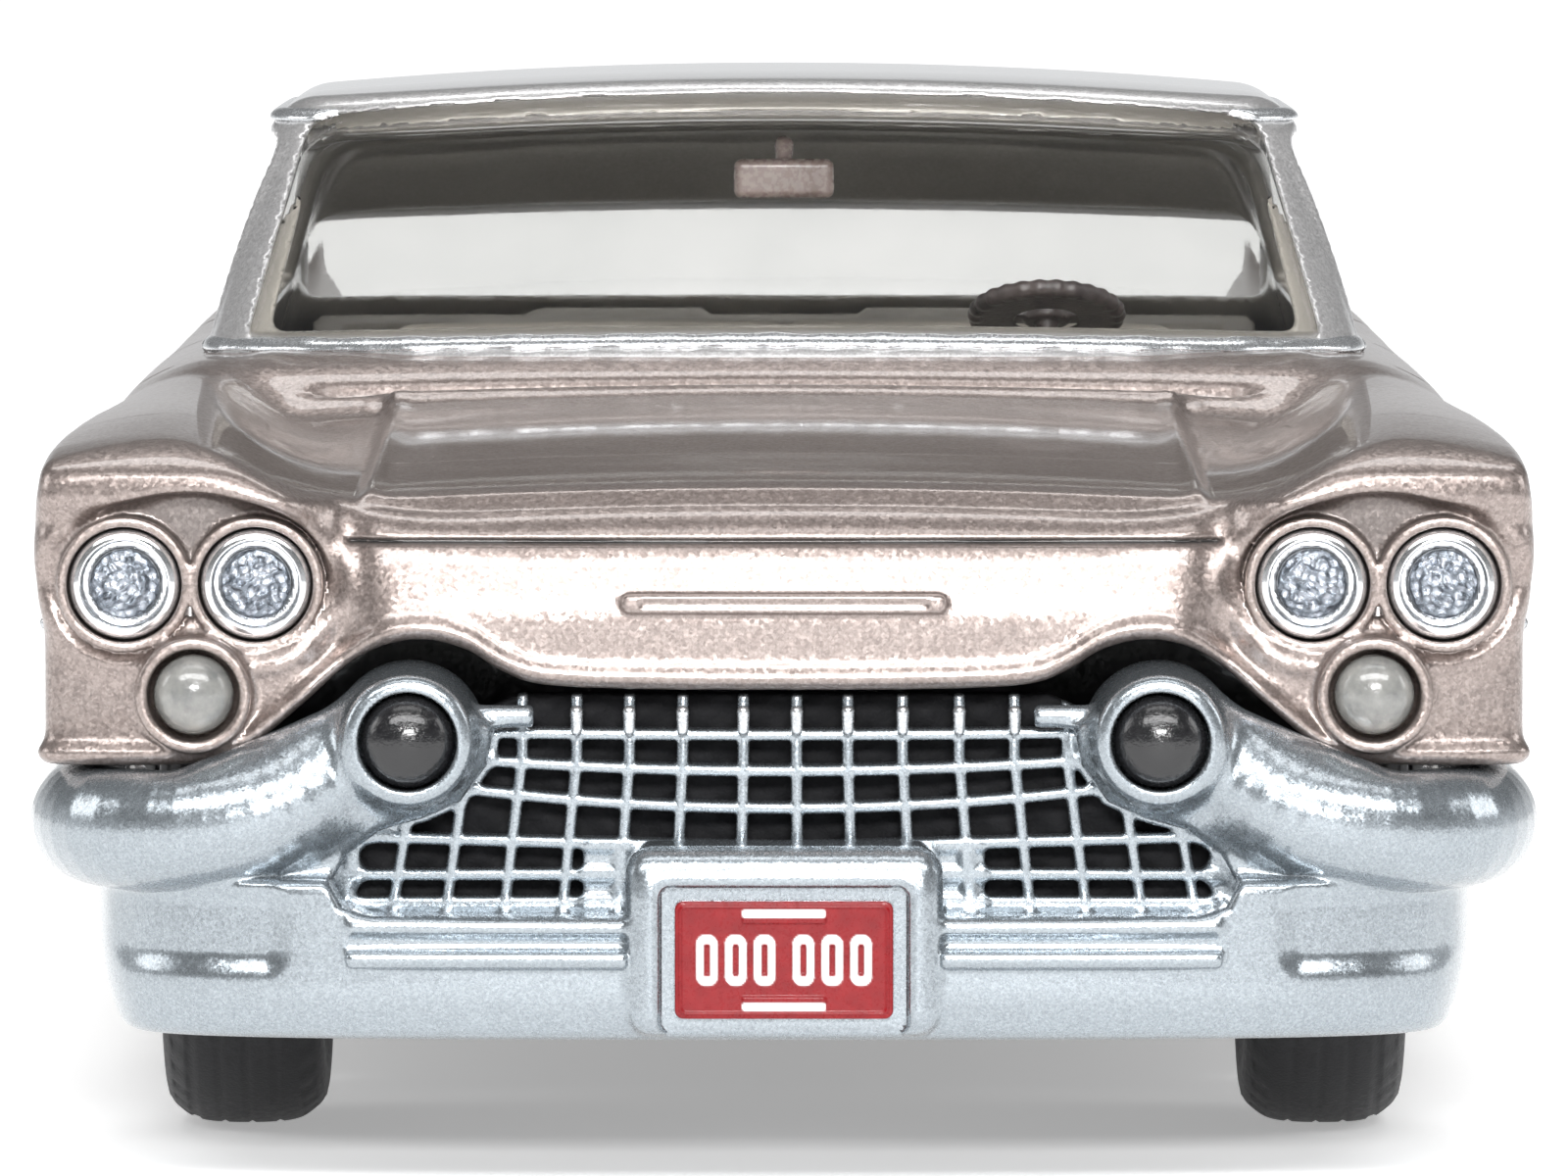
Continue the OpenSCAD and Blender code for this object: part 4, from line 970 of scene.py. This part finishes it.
def mixc(nt, f, a, b):
    n = nt.nodes.new("ShaderNodeMix")
    n.data_type = "RGBA"
    for sock, v in ((n.inputs[0], f), (n.inputs[6], a), (n.inputs[7], b)):
        if isinstance(v, (tuple, list)):
            sock.default_value = tuple(v) + ((1,) if len(v) == 3 else ())
        elif isinstance(v, (int, float)):
            sock.default_value = v
        else:
            nt.links.new(v, sock)
    return n.outputs[2]

def math_(nt, op, a, b=0.0):
    n = nt.nodes.new("ShaderNodeMath")
    n.operation = op
    for s, v in ((n.inputs[0], a), (n.inputs[1], b)):
        if isinstance(v, (int, float)):
            s.default_value = v
        else:
            nt.links.new(v, s)
    return n.outputs[0]

def attr(nt, name):
    n = nt.nodes.new("ShaderNodeAttribute")
    n.attribute_name = name
    return n.outputs["Fac"]

def bump(nt, p, h, dist, strength=1.0, normal=None):
    b = nt.nodes.new("ShaderNodeBump")
    b.inputs["Strength"].default_value = strength
    b.inputs["Distance"].default_value = dist * MM
    nt.links.new(h, b.inputs["Height"])
    if normal is not None:
        nt.links.new(normal, b.inputs["Normal"])
    nt.links.new(b.outputs[0], p.inputs["Normal"])
    return b.outputs[0]

def flake_normal(nt, vec, scale, amount):
    """Each tiny cell tilts its own way, as metal flake does."""
    c = vor(nt, vec, scale)
    s = nt.nodes.new("ShaderNodeVectorMath")
    s.operation = "SUBTRACT"
    s.inputs[1].default_value = (0.5, 0.5, 0.5)
    nt.links.new(c, s.inputs[0])
    k = nt.nodes.new("ShaderNodeVectorMath")
    k.operation = "SCALE"
    k.inputs["Scale"].default_value = amount
    nt.links.new(s.outputs[0], k.inputs[0])
    g = nt.nodes.new("ShaderNodeNewGeometry")
    a = nt.nodes.new("ShaderNodeVectorMath")
    a.operation = "ADD"
    nt.links.new(g.outputs["Normal"], a.inputs[0])
    nt.links.new(k.outputs[0], a.inputs[1])
    n = nt.nodes.new("ShaderNodeVectorMath")
    n.operation = "NORMALIZE"
    nt.links.new(a.outputs[0], n.inputs[0])
    return n.outputs[0]

def metal_paint(name, dark, light, groove=(0.02, 0.02, 0.02), rough=(0.25, 0.4), flake=16, tilt=0.32, coat=0.4, peel=0.006, metallic=0.85, has_groove=True):
    m, nt, p, v = new_mat(name)
    big = noise(nt, v, 0.5, 3)
    cell = vor(nt, v, flake * 1.35)
    sep = nt.nodes.new("ShaderNodeSeparateColor")
    nt.links.new(cell, sep.inputs[0])
    f = math_(nt, "MULTIPLY_ADD", sep.outputs[0], 0.75)
    nt.nodes[-1].inputs[2].default_value = 0.0
    f = math_(nt, "ADD", f, math_(nt, "MULTIPLY", big, 0.3))
    col = mixc(nt, f, dark, light)
    fine = noise(nt, v, 22, 2)
    col = mixc(nt, remap(nt, fine, 0.35, 0.7, 0.0, 0.35), col, tuple(c * 0.55 for c in dark))
    # the groove attribute mixes in the groove colour: dark panel joints, and on the body also painted shade on the
    # inner faces and in the lamp pods; on the roof, the inner faces' own colour
    if has_groove:
        col = mixc(nt, attr(nt, "groove"), col, groove)
        nt.links.new(math_(nt, "SUBTRACT", metallic, math_(nt, "MULTIPLY", attr(nt, "groove"), metallic * 0.7)), p.inputs["Metallic"])
    else:
        p.inputs["Metallic"].default_value = metallic
    nt.links.new(col, p.inputs["Base Color"])
    nt.links.new(remap(nt, math_(nt, "ADD", sep.outputs[1], math_(nt, "MULTIPLY", noise(nt, v, 2.2, 3), 0.4)), 0.0, 1.4, rough[0], rough[1]), p.inputs["Roughness"])
    nrm = flake_normal(nt, v, flake, tilt)
    bump(nt, p, noise(nt, v, 5.5, 3, 0.6), peel, 1.0, nrm)
    p.inputs["Coat Weight"].default_value = coat
    p.inputs["Coat Roughness"].default_value = 0.04
    return m

def plastic(name, a, b, rough=(0.35, 0.55), grain=18, depth=0.006, coat=0.0, metallic=0.0, spec=0.5, big=1.2):
    m, nt, p, v = new_mat(name)
    n1 = noise(nt, v, big, 4)
    n2 = noise(nt, v, grain, 3)
    col = mixc(nt, remap(nt, n1, 0.3, 0.7, 0, 1), a, b)
    col = mixc(nt, remap(nt, n2, 0.45, 0.75, 0, 0.3), col, tuple(min(1, c * 1.35 + 0.01) for c in b))
    nt.links.new(col, p.inputs["Base Color"])
    nt.links.new(remap(nt, n2, 0.3, 0.7, rough[0], rough[1]), p.inputs["Roughness"])
    bump(nt, p, n2, depth)
    p.inputs["Coat Weight"].default_value = coat
    p.inputs["Metallic"].default_value = metallic
    p.inputs["Specular IOR Level"].default_value = spec
    return m

PAINT = metal_paint("rose_beige_metallic", (0.25, 0.203, 0.186), (0.45, 0.382, 0.355), rough=(0.30, 0.40), tilt=0.14, coat=0.6, peel=0.0015)
ROOF = metal_paint("roof_silver", (0.60, 0.59, 0.59), (0.84, 0.83, 0.83), groove=(0.21, 0.195, 0.172), rough=(0.30, 0.42), flake=20, tilt=0.13, coat=1.0, peel=0.0015)
BRIGHT = metal_paint("bright_silver_trim", (0.30, 0.335, 0.365), (0.43, 0.475, 0.51), rough=(0.21, 0.30), flake=26, tilt=0.085, coat=0.7, peel=0.002, has_groove=False)
TRIM = metal_paint("side_trim_silver", (0.50, 0.52, 0.54), (0.76, 0.78, 0.80), rough=(0.20, 0.30), flake=24, tilt=0.10, coat=0.7, peel=0.002, has_groove=False)
BLACK = plastic("black_gloss", (0.006, 0.006, 0.007), (0.014, 0.014, 0.015), (0.10, 0.2), 14, 0.012, coat=0.4)
BACKING = plastic("grille_shadow", (0.006, 0.006, 0.007), (0.016, 0.016, 0.018), (0.6, 0.8), 16, 0.02, spec=0.2)
CABIN = plastic("cabin_beige", (0.235, 0.215, 0.185), (0.33, 0.305, 0.27), (0.4, 0.6), 12, 0.01)
SEAT = plastic("seat_beige", (0.30, 0.275, 0.24), (0.40, 0.37, 0.325), (0.42, 0.6), 15, 0.012)
WHEELBLK = plastic("steering_black", (0.012, 0.010, 0.010), (0.04, 0.03, 0.028), (0.25, 0.45), 16, 0.008)
MIRROR = plastic("mirror_brown", (0.12, 0.09, 0.08), (0.22, 0.17, 0.155), (0.2, 0.35), 10, 0.006, coat=0.3)
CHASSIS = plastic("chassis_black", (0.012, 0.012, 0.013), (0.032, 0.032, 0.034), (0.38, 0.62), 14, 0.015)
STEEL = plastic("drawn_steel", (0.40, 0.40, 0.41), (0.62, 0.62, 0.63), (0.2, 0.38), 12, 0.006, metallic=1.0)
WHEEL = plastic("wheel_plated", (0.62, 0.64, 0.66), (0.80, 0.81, 0.83), (0.10, 0.22), 16, 0.004, metallic=1.0)

def lamp_mat():
    m, nt, p, v = new_mat("lamp_plated")
    peb = vor(nt, v, 7.5, "Distance")
    n = noise(nt, v, 10, 4, 0.7)
    lens = attr(nt, "lens")
    c1 = mixc(nt, remap(nt, n, 0.35, 0.65, 0, 1), (0.70, 0.71, 0.73), (0.90, 0.91, 0.92))
    c2 = mixc(nt, remap(nt, peb, 0.1, 0.6, 0, 1), (0.62, 0.66, 0.73), (0.20, 0.225, 0.26))
    nt.links.new(mixc(nt, lens, c1, c2), p.inputs["Base Color"])
    p.inputs["Metallic"].default_value = 0.9
    nt.links.new(math_(nt, "ADD", 0.10, math_(nt, "MULTIPLY", lens, 0.12)), p.inputs["Roughness"])
    h = math_(nt, "MULTIPLY", math_(nt, "ADD", peb, math_(nt, "MULTIPLY", n, 0.6)), lens)
    bump(nt, p, h, 0.05)
    p.inputs["Coat Weight"].default_value = 0.5
    return m

def dome_mat(name, a, b, trans=0.35):
    m, nt, p, v = new_mat(name)
    n = noise(nt, v, 3.2, 4)
    g = noise(nt, v, 15, 3)
    nt.links.new(mixc(nt, remap(nt, n, 0.3, 0.7, 0, 1), a, b), p.inputs["Base Color"])
    nt.links.new(remap(nt, g, 0.3, 0.7, 0.10, 0.26), p.inputs["Roughness"])
    bump(nt, p, g, 0.008)
    p.inputs["Transmission Weight"].default_value = trans
    p.inputs["Coat Weight"].default_value = 0.8
    return m

def plate_mat():
    m, nt, p, v = new_mat("plate_print")
    n = noise(nt, v, 4, 4)
    red = mixc(nt, remap(nt, n, 0.3, 0.7, 0, 1), (0.17, 0.005, 0.008), (0.23, 0.008, 0.011))
    nt.links.new(mixc(nt, attr(nt, "glyph"), red, (0.92, 0.92, 0.92)), p.inputs["Base Color"])
    nt.links.new(remap(nt, noise(nt, v, 18, 2), 0.3, 0.7, 0.22, 0.4), p.inputs["Roughness"])
    bump(nt, p, n, 0.006)
    p.inputs["Coat Weight"].default_value = 0.1
    p.inputs["Specular IOR Level"].default_value = 0.3
    return m

def tyre_mat():
    m, nt, p, v = new_mat("tyre_rubber")
    n = noise(nt, v, 9, 4)
    w = attr(nt, "white")
    c = mixc(nt, remap(nt, n, 0.3, 0.7, 0, 1), (0.010, 0.010, 0.011), (0.026, 0.026, 0.028))
    nt.links.new(mixc(nt, w, c, (0.74, 0.73, 0.70)), p.inputs["Base Color"])
    nt.links.new(remap(nt, n, 0.3, 0.7, 0.42, 0.62), p.inputs["Roughness"])
    bump(nt, p, noise(nt, v, 20, 3), 0.010)
    p.inputs["Specular IOR Level"].default_value = 0.35
    return m

def glass_mat():
    m, nt, p, v = new_mat("clear_moulding")
    n = noise(nt, v, 0.45, 2)
    nt.links.new(mixc(nt, remap(nt, n, 0.3, 0.7, 0, 1), (0.90, 0.905, 0.895), (0.955, 0.955, 0.945)), p.inputs["Base Color"])
    p.inputs["Transmission Weight"].default_value = 1.0
    p.inputs["IOR"].default_value = 1.46
    nt.links.new(remap(nt, noise(nt, v, 7, 3), 0.3, 0.7, 0.0, 0.035), p.inputs["Roughness"])
    bump(nt, p, n, 0.002, 0.3)
    return m

LAMP, TURN, TAIL = lamp_mat(), dome_mat("smoky_dome", (0.20, 0.205, 0.20), (0.36, 0.36, 0.34)), dome_mat("red_lens", (0.34, 0.004, 0.006), (0.55, 0.015, 0.015), 0.25)
PLATE, TYRE, GLASS = plate_mat(), tyre_mat(), glass_mat()

# ------------------------------------------------------------------ build
def body_gaps_and_painted_shade(x, y, z):
    """1 in panel gaps (dark joints); on the bare inner faces of the casting a near-black that is partly bare metal and
    partly painted shade; 0.5 in the lamp pods, painted shade under the brows.
    """
    # painted shade: inner faces (wheel wells, underside) take the near-black gap colour, partly bare casting and partly
    # the shade that falls there
    inner = step(-0.34, -0.5, lower_outer(x, y, z)) * (1 - step(-28.9, -29.2, y) * step(7.3, 7.7, z))
    inner = inner * (1 - step(28.2, 28.5, y) * step(6, 6.3, z))
    # painted shade: the paint inside the lamp pods is darkened halfway for the shade under the fender brows
    pod = 0.5 * step(0.05, -0.2, pods(np.abs(x), y, z)) * step(-29.9, -29.75, y) * step(-28, -28.3, y)
    return np.clip(np.maximum(np.maximum(groove_mask(x, y, z) * 1.1, inner), pod), 0, 1)

gap_and_shade_attr = {"groove": body_gaps_and_painted_shade}
roof_attr = {"groove": lambda x, y, z: step(-0.3, -0.5, greenhouse(np.abs(x), y, z))}
CUT = -25.0
body_main_f = lambda x, y, z: body_f(x, y, z) + 0.07 * step(CUT + 0.28, CUT - 0.02, y)
hf, hr = 0.062, 0.15
piece("body_front", body_f, (0, -30.9, 2.3), (11.8, CUT + 0.3, 11.9), hf, PAINT, nodes=("body_shell",), slot="paint", sym=True, attrs=gap_and_shade_attr)
piece("body_main", body_main_f, (0, CUT - 0.4, 2.3), (11.8, 31.2, 13.2), hr, PAINT, nodes=("body_shell",), slot="paint", sym=True, attrs=gap_and_shade_attr)
piece("roof_and_pillars", roof_f, (0, -15.5, 10.8), (10.2, 18.0, 16.5), (0.09, 0.115, 0.078), ROOF, nodes=("body_shell",), slot="paint", sym=True, attrs=roof_attr)
piece("glass_moulding", glass_f, (0, -15.5, 11.3), (10.0, 18.0, 15.9), 0.12, GLASS, nodes=("glazing",), slot="clear", sym=True).visible_shadow = False
piece("side_trim", trim_f, (8.6, -28.2, 2.4), (11.7, 28.2, 12.2), (0.07, 0.14, 0.06), TRIM, slot="bright_trim")
piece("side_trim_right", lambda x, y, z: trim_f(-x, y, z), (-11.7, -28.2, 2.4), (-8.6, 28.2, 12.2), (0.07, 0.14, 0.06), TRIM, slot="bright_trim")
piece("screen_bead", cowl_trim_f, (0, -14.2, 11.4), (10.2, -8.4, 12.2), 0.045, TRIM, slot="bright_trim", sym=True)
piece("roof_gutters", gutter_f, (6.8, -10, 11.8), (10.0, 12.6, 15.9), 0.06, TRIM, slot="bright_trim")
piece("roof_gutters_right", lambda x, y, z: gutter_f(x, y, z), (-10.0, -10, 11.8), (-6.8, 12.6, 15.9), 0.06, TRIM, slot="bright_trim")
piece("bumper_front", bumper_f, (0, -31.9, 2.0), (12.3, -25.6, 8.2), 0.055, BRIGHT, nodes=("front_bumper",), slot="bright_trim", sym=True)
piece("bullet_tips", bullet_f, (0, -31.8, 5.8), (6.6, -30.4, 7.6), 0.04, BLACK, nodes=("bumper_bullets",), slot="black_gloss", sym=True)
piece("grille_casting", grille_f, (-7.3, -30.5, 3.6), (7.3, -29.3, 7.5), (0.04, 0.05, 0.036), BRIGHT, nodes=("grille",), slot="bright_trim")
piece("grille_backing", grille_back_f, (0, -29.8, 3.5), (7.5, -28.7, 7.6), 0.07, BACKING, nodes=("grille",), slot="black_gloss", sym=True)
# painted highlight: the grille's bar ends take the lighter trim silver instead of the grille's own bright silver
piece("grille_bar_ends_painted_highlight", knob_f, (-4.2, -30.6, 6.5), (4.2, -29.8, 7.3), 0.03, TRIM, nodes=("grille",), slot="bright_trim")
def lens_attr(sign):
    def g(x, y, z):
        r = np.minimum(np.hypot(x * sign - LAMPS[0], z - LAMP_Z), np.hypot(x * sign - LAMPS[1], z - LAMP_Z))
        return step(0.56, 0.52, r)
    return {"lens": g}
piece("lamps_left", lamp_f(1), (6.9, -30.4, 7.9), (10.95, -28.5, 10.0), 0.032, LAMP, nodes=("headlamps_left",), slot="lamp_bright", attrs=lens_attr(1))
piece("lamps_right", lamp_f(-1), (-10.95, -30.4, 7.9), (-6.9, -28.5, 10.0), 0.032, LAMP, nodes=("headlamps_right",), slot="lamp_bright", attrs=lens_attr(-1))
piece("turn_domes", turn_f, (0, -30.9, 6.6), (9.6, -29.0, 8.1), 0.045, TURN, nodes=("front_indicators",), slot="lamp_lens", sym=True)
ga = lambda s, z0: {"glyph": lambda x, y, z: step(0.012, -0.012, glyphs(x * -s, (z - z0) * 0.86)) * (np.abs(y - (-31.16 if s < 0 else 31.36)) < 1) * step(0.03, 0.06, (y - (-31.32 if s < 0 else 31.30)) * s)}
piece("plate_front", plate_f(-31.32, -1), (-1.8, -31.6, 2.4), (1.8, -31.1, 4.5), (0.026, 0.03, 0.026), PLATE, nodes=("front_number_plate",), slot="plate_red", attrs=ga(-1, 3.45))
piece("plate_rear", plate_f(31.30, 1), (-1.8, 31.0, 3.1), (1.8, 31.7, 5.2), (0.03, 0.03, 0.03), PLATE, nodes=("rear_number_plate",), slot="plate_red", attrs=ga(1, 4.14))
piece("bumper_rear", rbumper_f, (0, 25.2, 2.7), (11.2, 31.9, 6.0), 0.075, BRIGHT, nodes=("rear_bumper",), slot="bright_trim", sym=True)
piece("tail_domes", tail_f, (0, 28.4, 6.3), (10.4, 31.6, 8.8), 0.06, TAIL, nodes=("tail_lamps",), slot="red_lens", sym=True)
piece("cabin_tray", tray_f, (0, -12.8, 5.6), (8.6, 15.4, 11.5), 0.19, CABIN, nodes=("interior_tray",), slot="cabin_plastic", sym=True)
piece("seat_front", seat_f(-0.9, 6.9, 11.4), (0, -3.8, 6.3), (7.2, 4.2, 12.1), 0.1, SEAT, nodes=("front_seat",), slot="seat_plastic", sym=True)
piece("seat_rear", seat_f(7.4, 6.6, 11.0), (0, 4.6, 6.3), (7.0, 12.4, 11.8), 0.1, SEAT, nodes=("rear_seat",), slot="seat_plastic", sym=True)
piece("dash", dash_f, (-7.8, -12.2, 8.0), (7.8, -8.2, 11.9), 0.09, CABIN, nodes=("dashboard",), slot="cabin_plastic")
piece("wheel_steering", steer_f, (2.9, -9.6, 10.0), (5.9, -6.2, 12.9), 0.035, WHEELBLK, nodes=("steering_wheel",), slot="black_plastic")
piece("mirror_inside", mirror_f, (-1.0, -5.6, 13.6), (1.0, -4.6, 15.0), 0.04, MIRROR, nodes=("rear_view_mirror",), slot="mirror_plastic")
piece("chassis_plate", chassis_f, (0, -29.5, 1.8), (10.0, 29.5, 5.9), 0.17, CHASSIS, nodes=("chassis",), slot="chassis_black", sym=True)
piece("screw_heads", screws_f, (-1.4, -26.0, 1.9), (1.4, -23.2, 5.6), 0.06, STEEL, nodes=("chassis_screws",), slot="steel")
piece("screw_heads_rear", screws_f, (-1.4, 21.9, 1.9), (1.4, 24.7, 5.6), 0.06, STEEL, nodes=("chassis_screws",), slot="steel")
for nm, y0 in (("front", YF), ("rear", YR)):
    b = nm + "_wheelset"
    piece("axle_" + nm, axle_f(y0), (-8.4, y0 - 0.7, AZ - 0.7), (8.4, y0 + 0.7, AZ + 0.7), (0.12, 0.05, 0.05), STEEL, body=b, nodes=(nm + "_axle_rod",), slot="steel")
    for side, sx in (("left", 1), ("right", -1)):
        lo, hi = ((7.3, y0 - 2.8, AZ - 2.8), (9.8, y0 + 2.8, AZ + 2.8)) if sx > 0 else ((-9.8, y0 - 2.8, AZ - 2.8), (-7.3, y0 + 2.8, AZ + 2.8))
        piece("disc_%s_%s" % (nm, side), wheel_f(sx, y0), lo, hi, 0.06, WHEEL, body=b, nodes=("wheel_%s_%s" % (nm, side),), slot="wheel_bright")
        ob = tyre_mesh("rubber_%s_%s" % (nm, side), sx, y0, TYRE, ("tyre_%s_%s" % (nm, side),), b)
        co = np.empty(len(ob.data.vertices) * 3, np.float32)
        ob.data.vertices.foreach_get("co", co)
        co = co.reshape(-1, 3) / MM
        rr = np.hypot(co[:, 1] - y0, co[:, 2] - AZ)
        wv = step(2.68, 2.76, rr) * step(3.32, 3.24, rr) * (co[:, 0] * sx > 8.4)
        a = ob.data.attributes.new("white", "FLOAT", "POINT")
        a.data.foreach_set("value", wv.astype(np.float32))

# ------------------------------------------------------------------ floor, lights, camera
def floor():
    m, nt, p, v = new_mat("pale_floor")
    n = noise(nt, v, 0.02, 3)
    nt.links.new(mixc(nt, n, (0.90, 0.90, 0.90), (0.94, 0.94, 0.94)), p.inputs["Base Color"])
    p.inputs["Roughness"].default_value = 0.7
    p.inputs["Emission Color"].default_value = (1, 1, 1, 1)
    p.inputs["Emission Strength"].default_value = 0.34
    me = bpy.data.meshes.new("floor")
    s = 0.34
    me.from_pydata([(-s, -s, 0), (s, -s, 0), (s, s, 0), (-s, s, 0)], [], [(0, 1, 2, 3)])
    ob = bpy.data.objects.new("floor", me)
    bpy.context.scene.collection.objects.link(ob)
    me.materials.append(m)

floor()
world = bpy.data.worlds.new("studio")
bpy.context.scene.world = world
world.use_nodes = True
wt = world.node_tree
bg = wt.nodes["Background"]
wtc = wt.nodes.new("ShaderNodeTexCoord")
wsep = wt.nodes.new("ShaderNodeSeparateXYZ")
wt.links.new(wtc.outputs["Generated"], wsep.inputs[0])
wlev = remap(wt, wsep.outputs[2], 0.06, 0.28, 0.74, 0.12)
wlev = math_(wt, "MULTIPLY", wlev, remap(wt, wsep.outputs[1], -0.3, 0.3, 0.60, 1.0))
bg.inputs[0].default_value = (0.97, 0.985, 1.0, 1)
wt.links.new(wlev, bg.inputs[1])
white = wt.nodes.new("ShaderNodeBackground")
white.inputs[0].default_value = (1, 1, 1, 1)
white.inputs[1].default_value = 1.1
lp = wt.nodes.new("ShaderNodeLightPath")
hits = math_(wt, "ADD", lp.outputs["Diffuse Depth"], lp.outputs["Glossy Depth"])
straight = math_(wt, "LESS_THAN", hits, 0.5)
mixw = wt.nodes.new("ShaderNodeMixShader")
wt.links.new(straight, mixw.inputs[0])
wt.links.new(bg.outputs[0], mixw.inputs[1])
wt.links.new(white.outputs[0], mixw.inputs[2])
wt.links.new(mixw.outputs[0], wt.nodes["World Output"].inputs[0])
bpy.context.scene.view_settings.view_transform = "Standard"

def area(name, loc, target, size, power, col=(1, 1, 1)):
    l = bpy.data.lights.new(name, "AREA")
    l.shape = "RECTANGLE"
    l.size, l.size_y = size
    l.energy = power
    l.color = col
    ob = bpy.data.objects.new(name, l)
    ob.location = loc
    d = np.array(target, float) - np.array(loc, float)
    import mathutils
    ob.rotation_euler = mathutils.Vector(d).to_track_quat("-Z", "Y").to_euler()
    bpy.context.scene.collection.objects.link(ob)
    return ob

area("key", (0.03, -0.78, 0.27), (0, -0.03, 0.008), (0.26, 0.10), 4.8)
area("strip", (0.0, -0.42, 0.44), (0, -0.03, 0.006), (0.75, 0.16), 3.2)
area("top", (0.0, -0.18, 0.78), (0, 0.0, 0.0), (0.70, 0.14), 1.0)
area("left", (-0.75, 0.05, 0.36), (0, 0, 0.01), (0.36, 0.36), 1.2)
area("right", (0.75, 0.05, 0.36), (0, 0, 0.01), (0.36, 0.36), 1.2)
area("back", (0.0, 0.42, 0.70), (0, 0.02, 0.01), (0.70, 0.14), 1.2)

cam = bpy.data.cameras.new("camera")
cam.lens = 302.0
cam.sensor_width = 36.0
cam.clip_start = 0.005
cam.clip_end = 20
co = bpy.data.objects.new("camera", cam)
co.location = (0.0, (-31.55 - 195.4) * MM, 20.7 * MM)
co.rotation_euler = (math.radians(90 - 3.42), 0, 0)
bpy.context.scene.collection.objects.link(co)
bpy.context.scene.camera = co
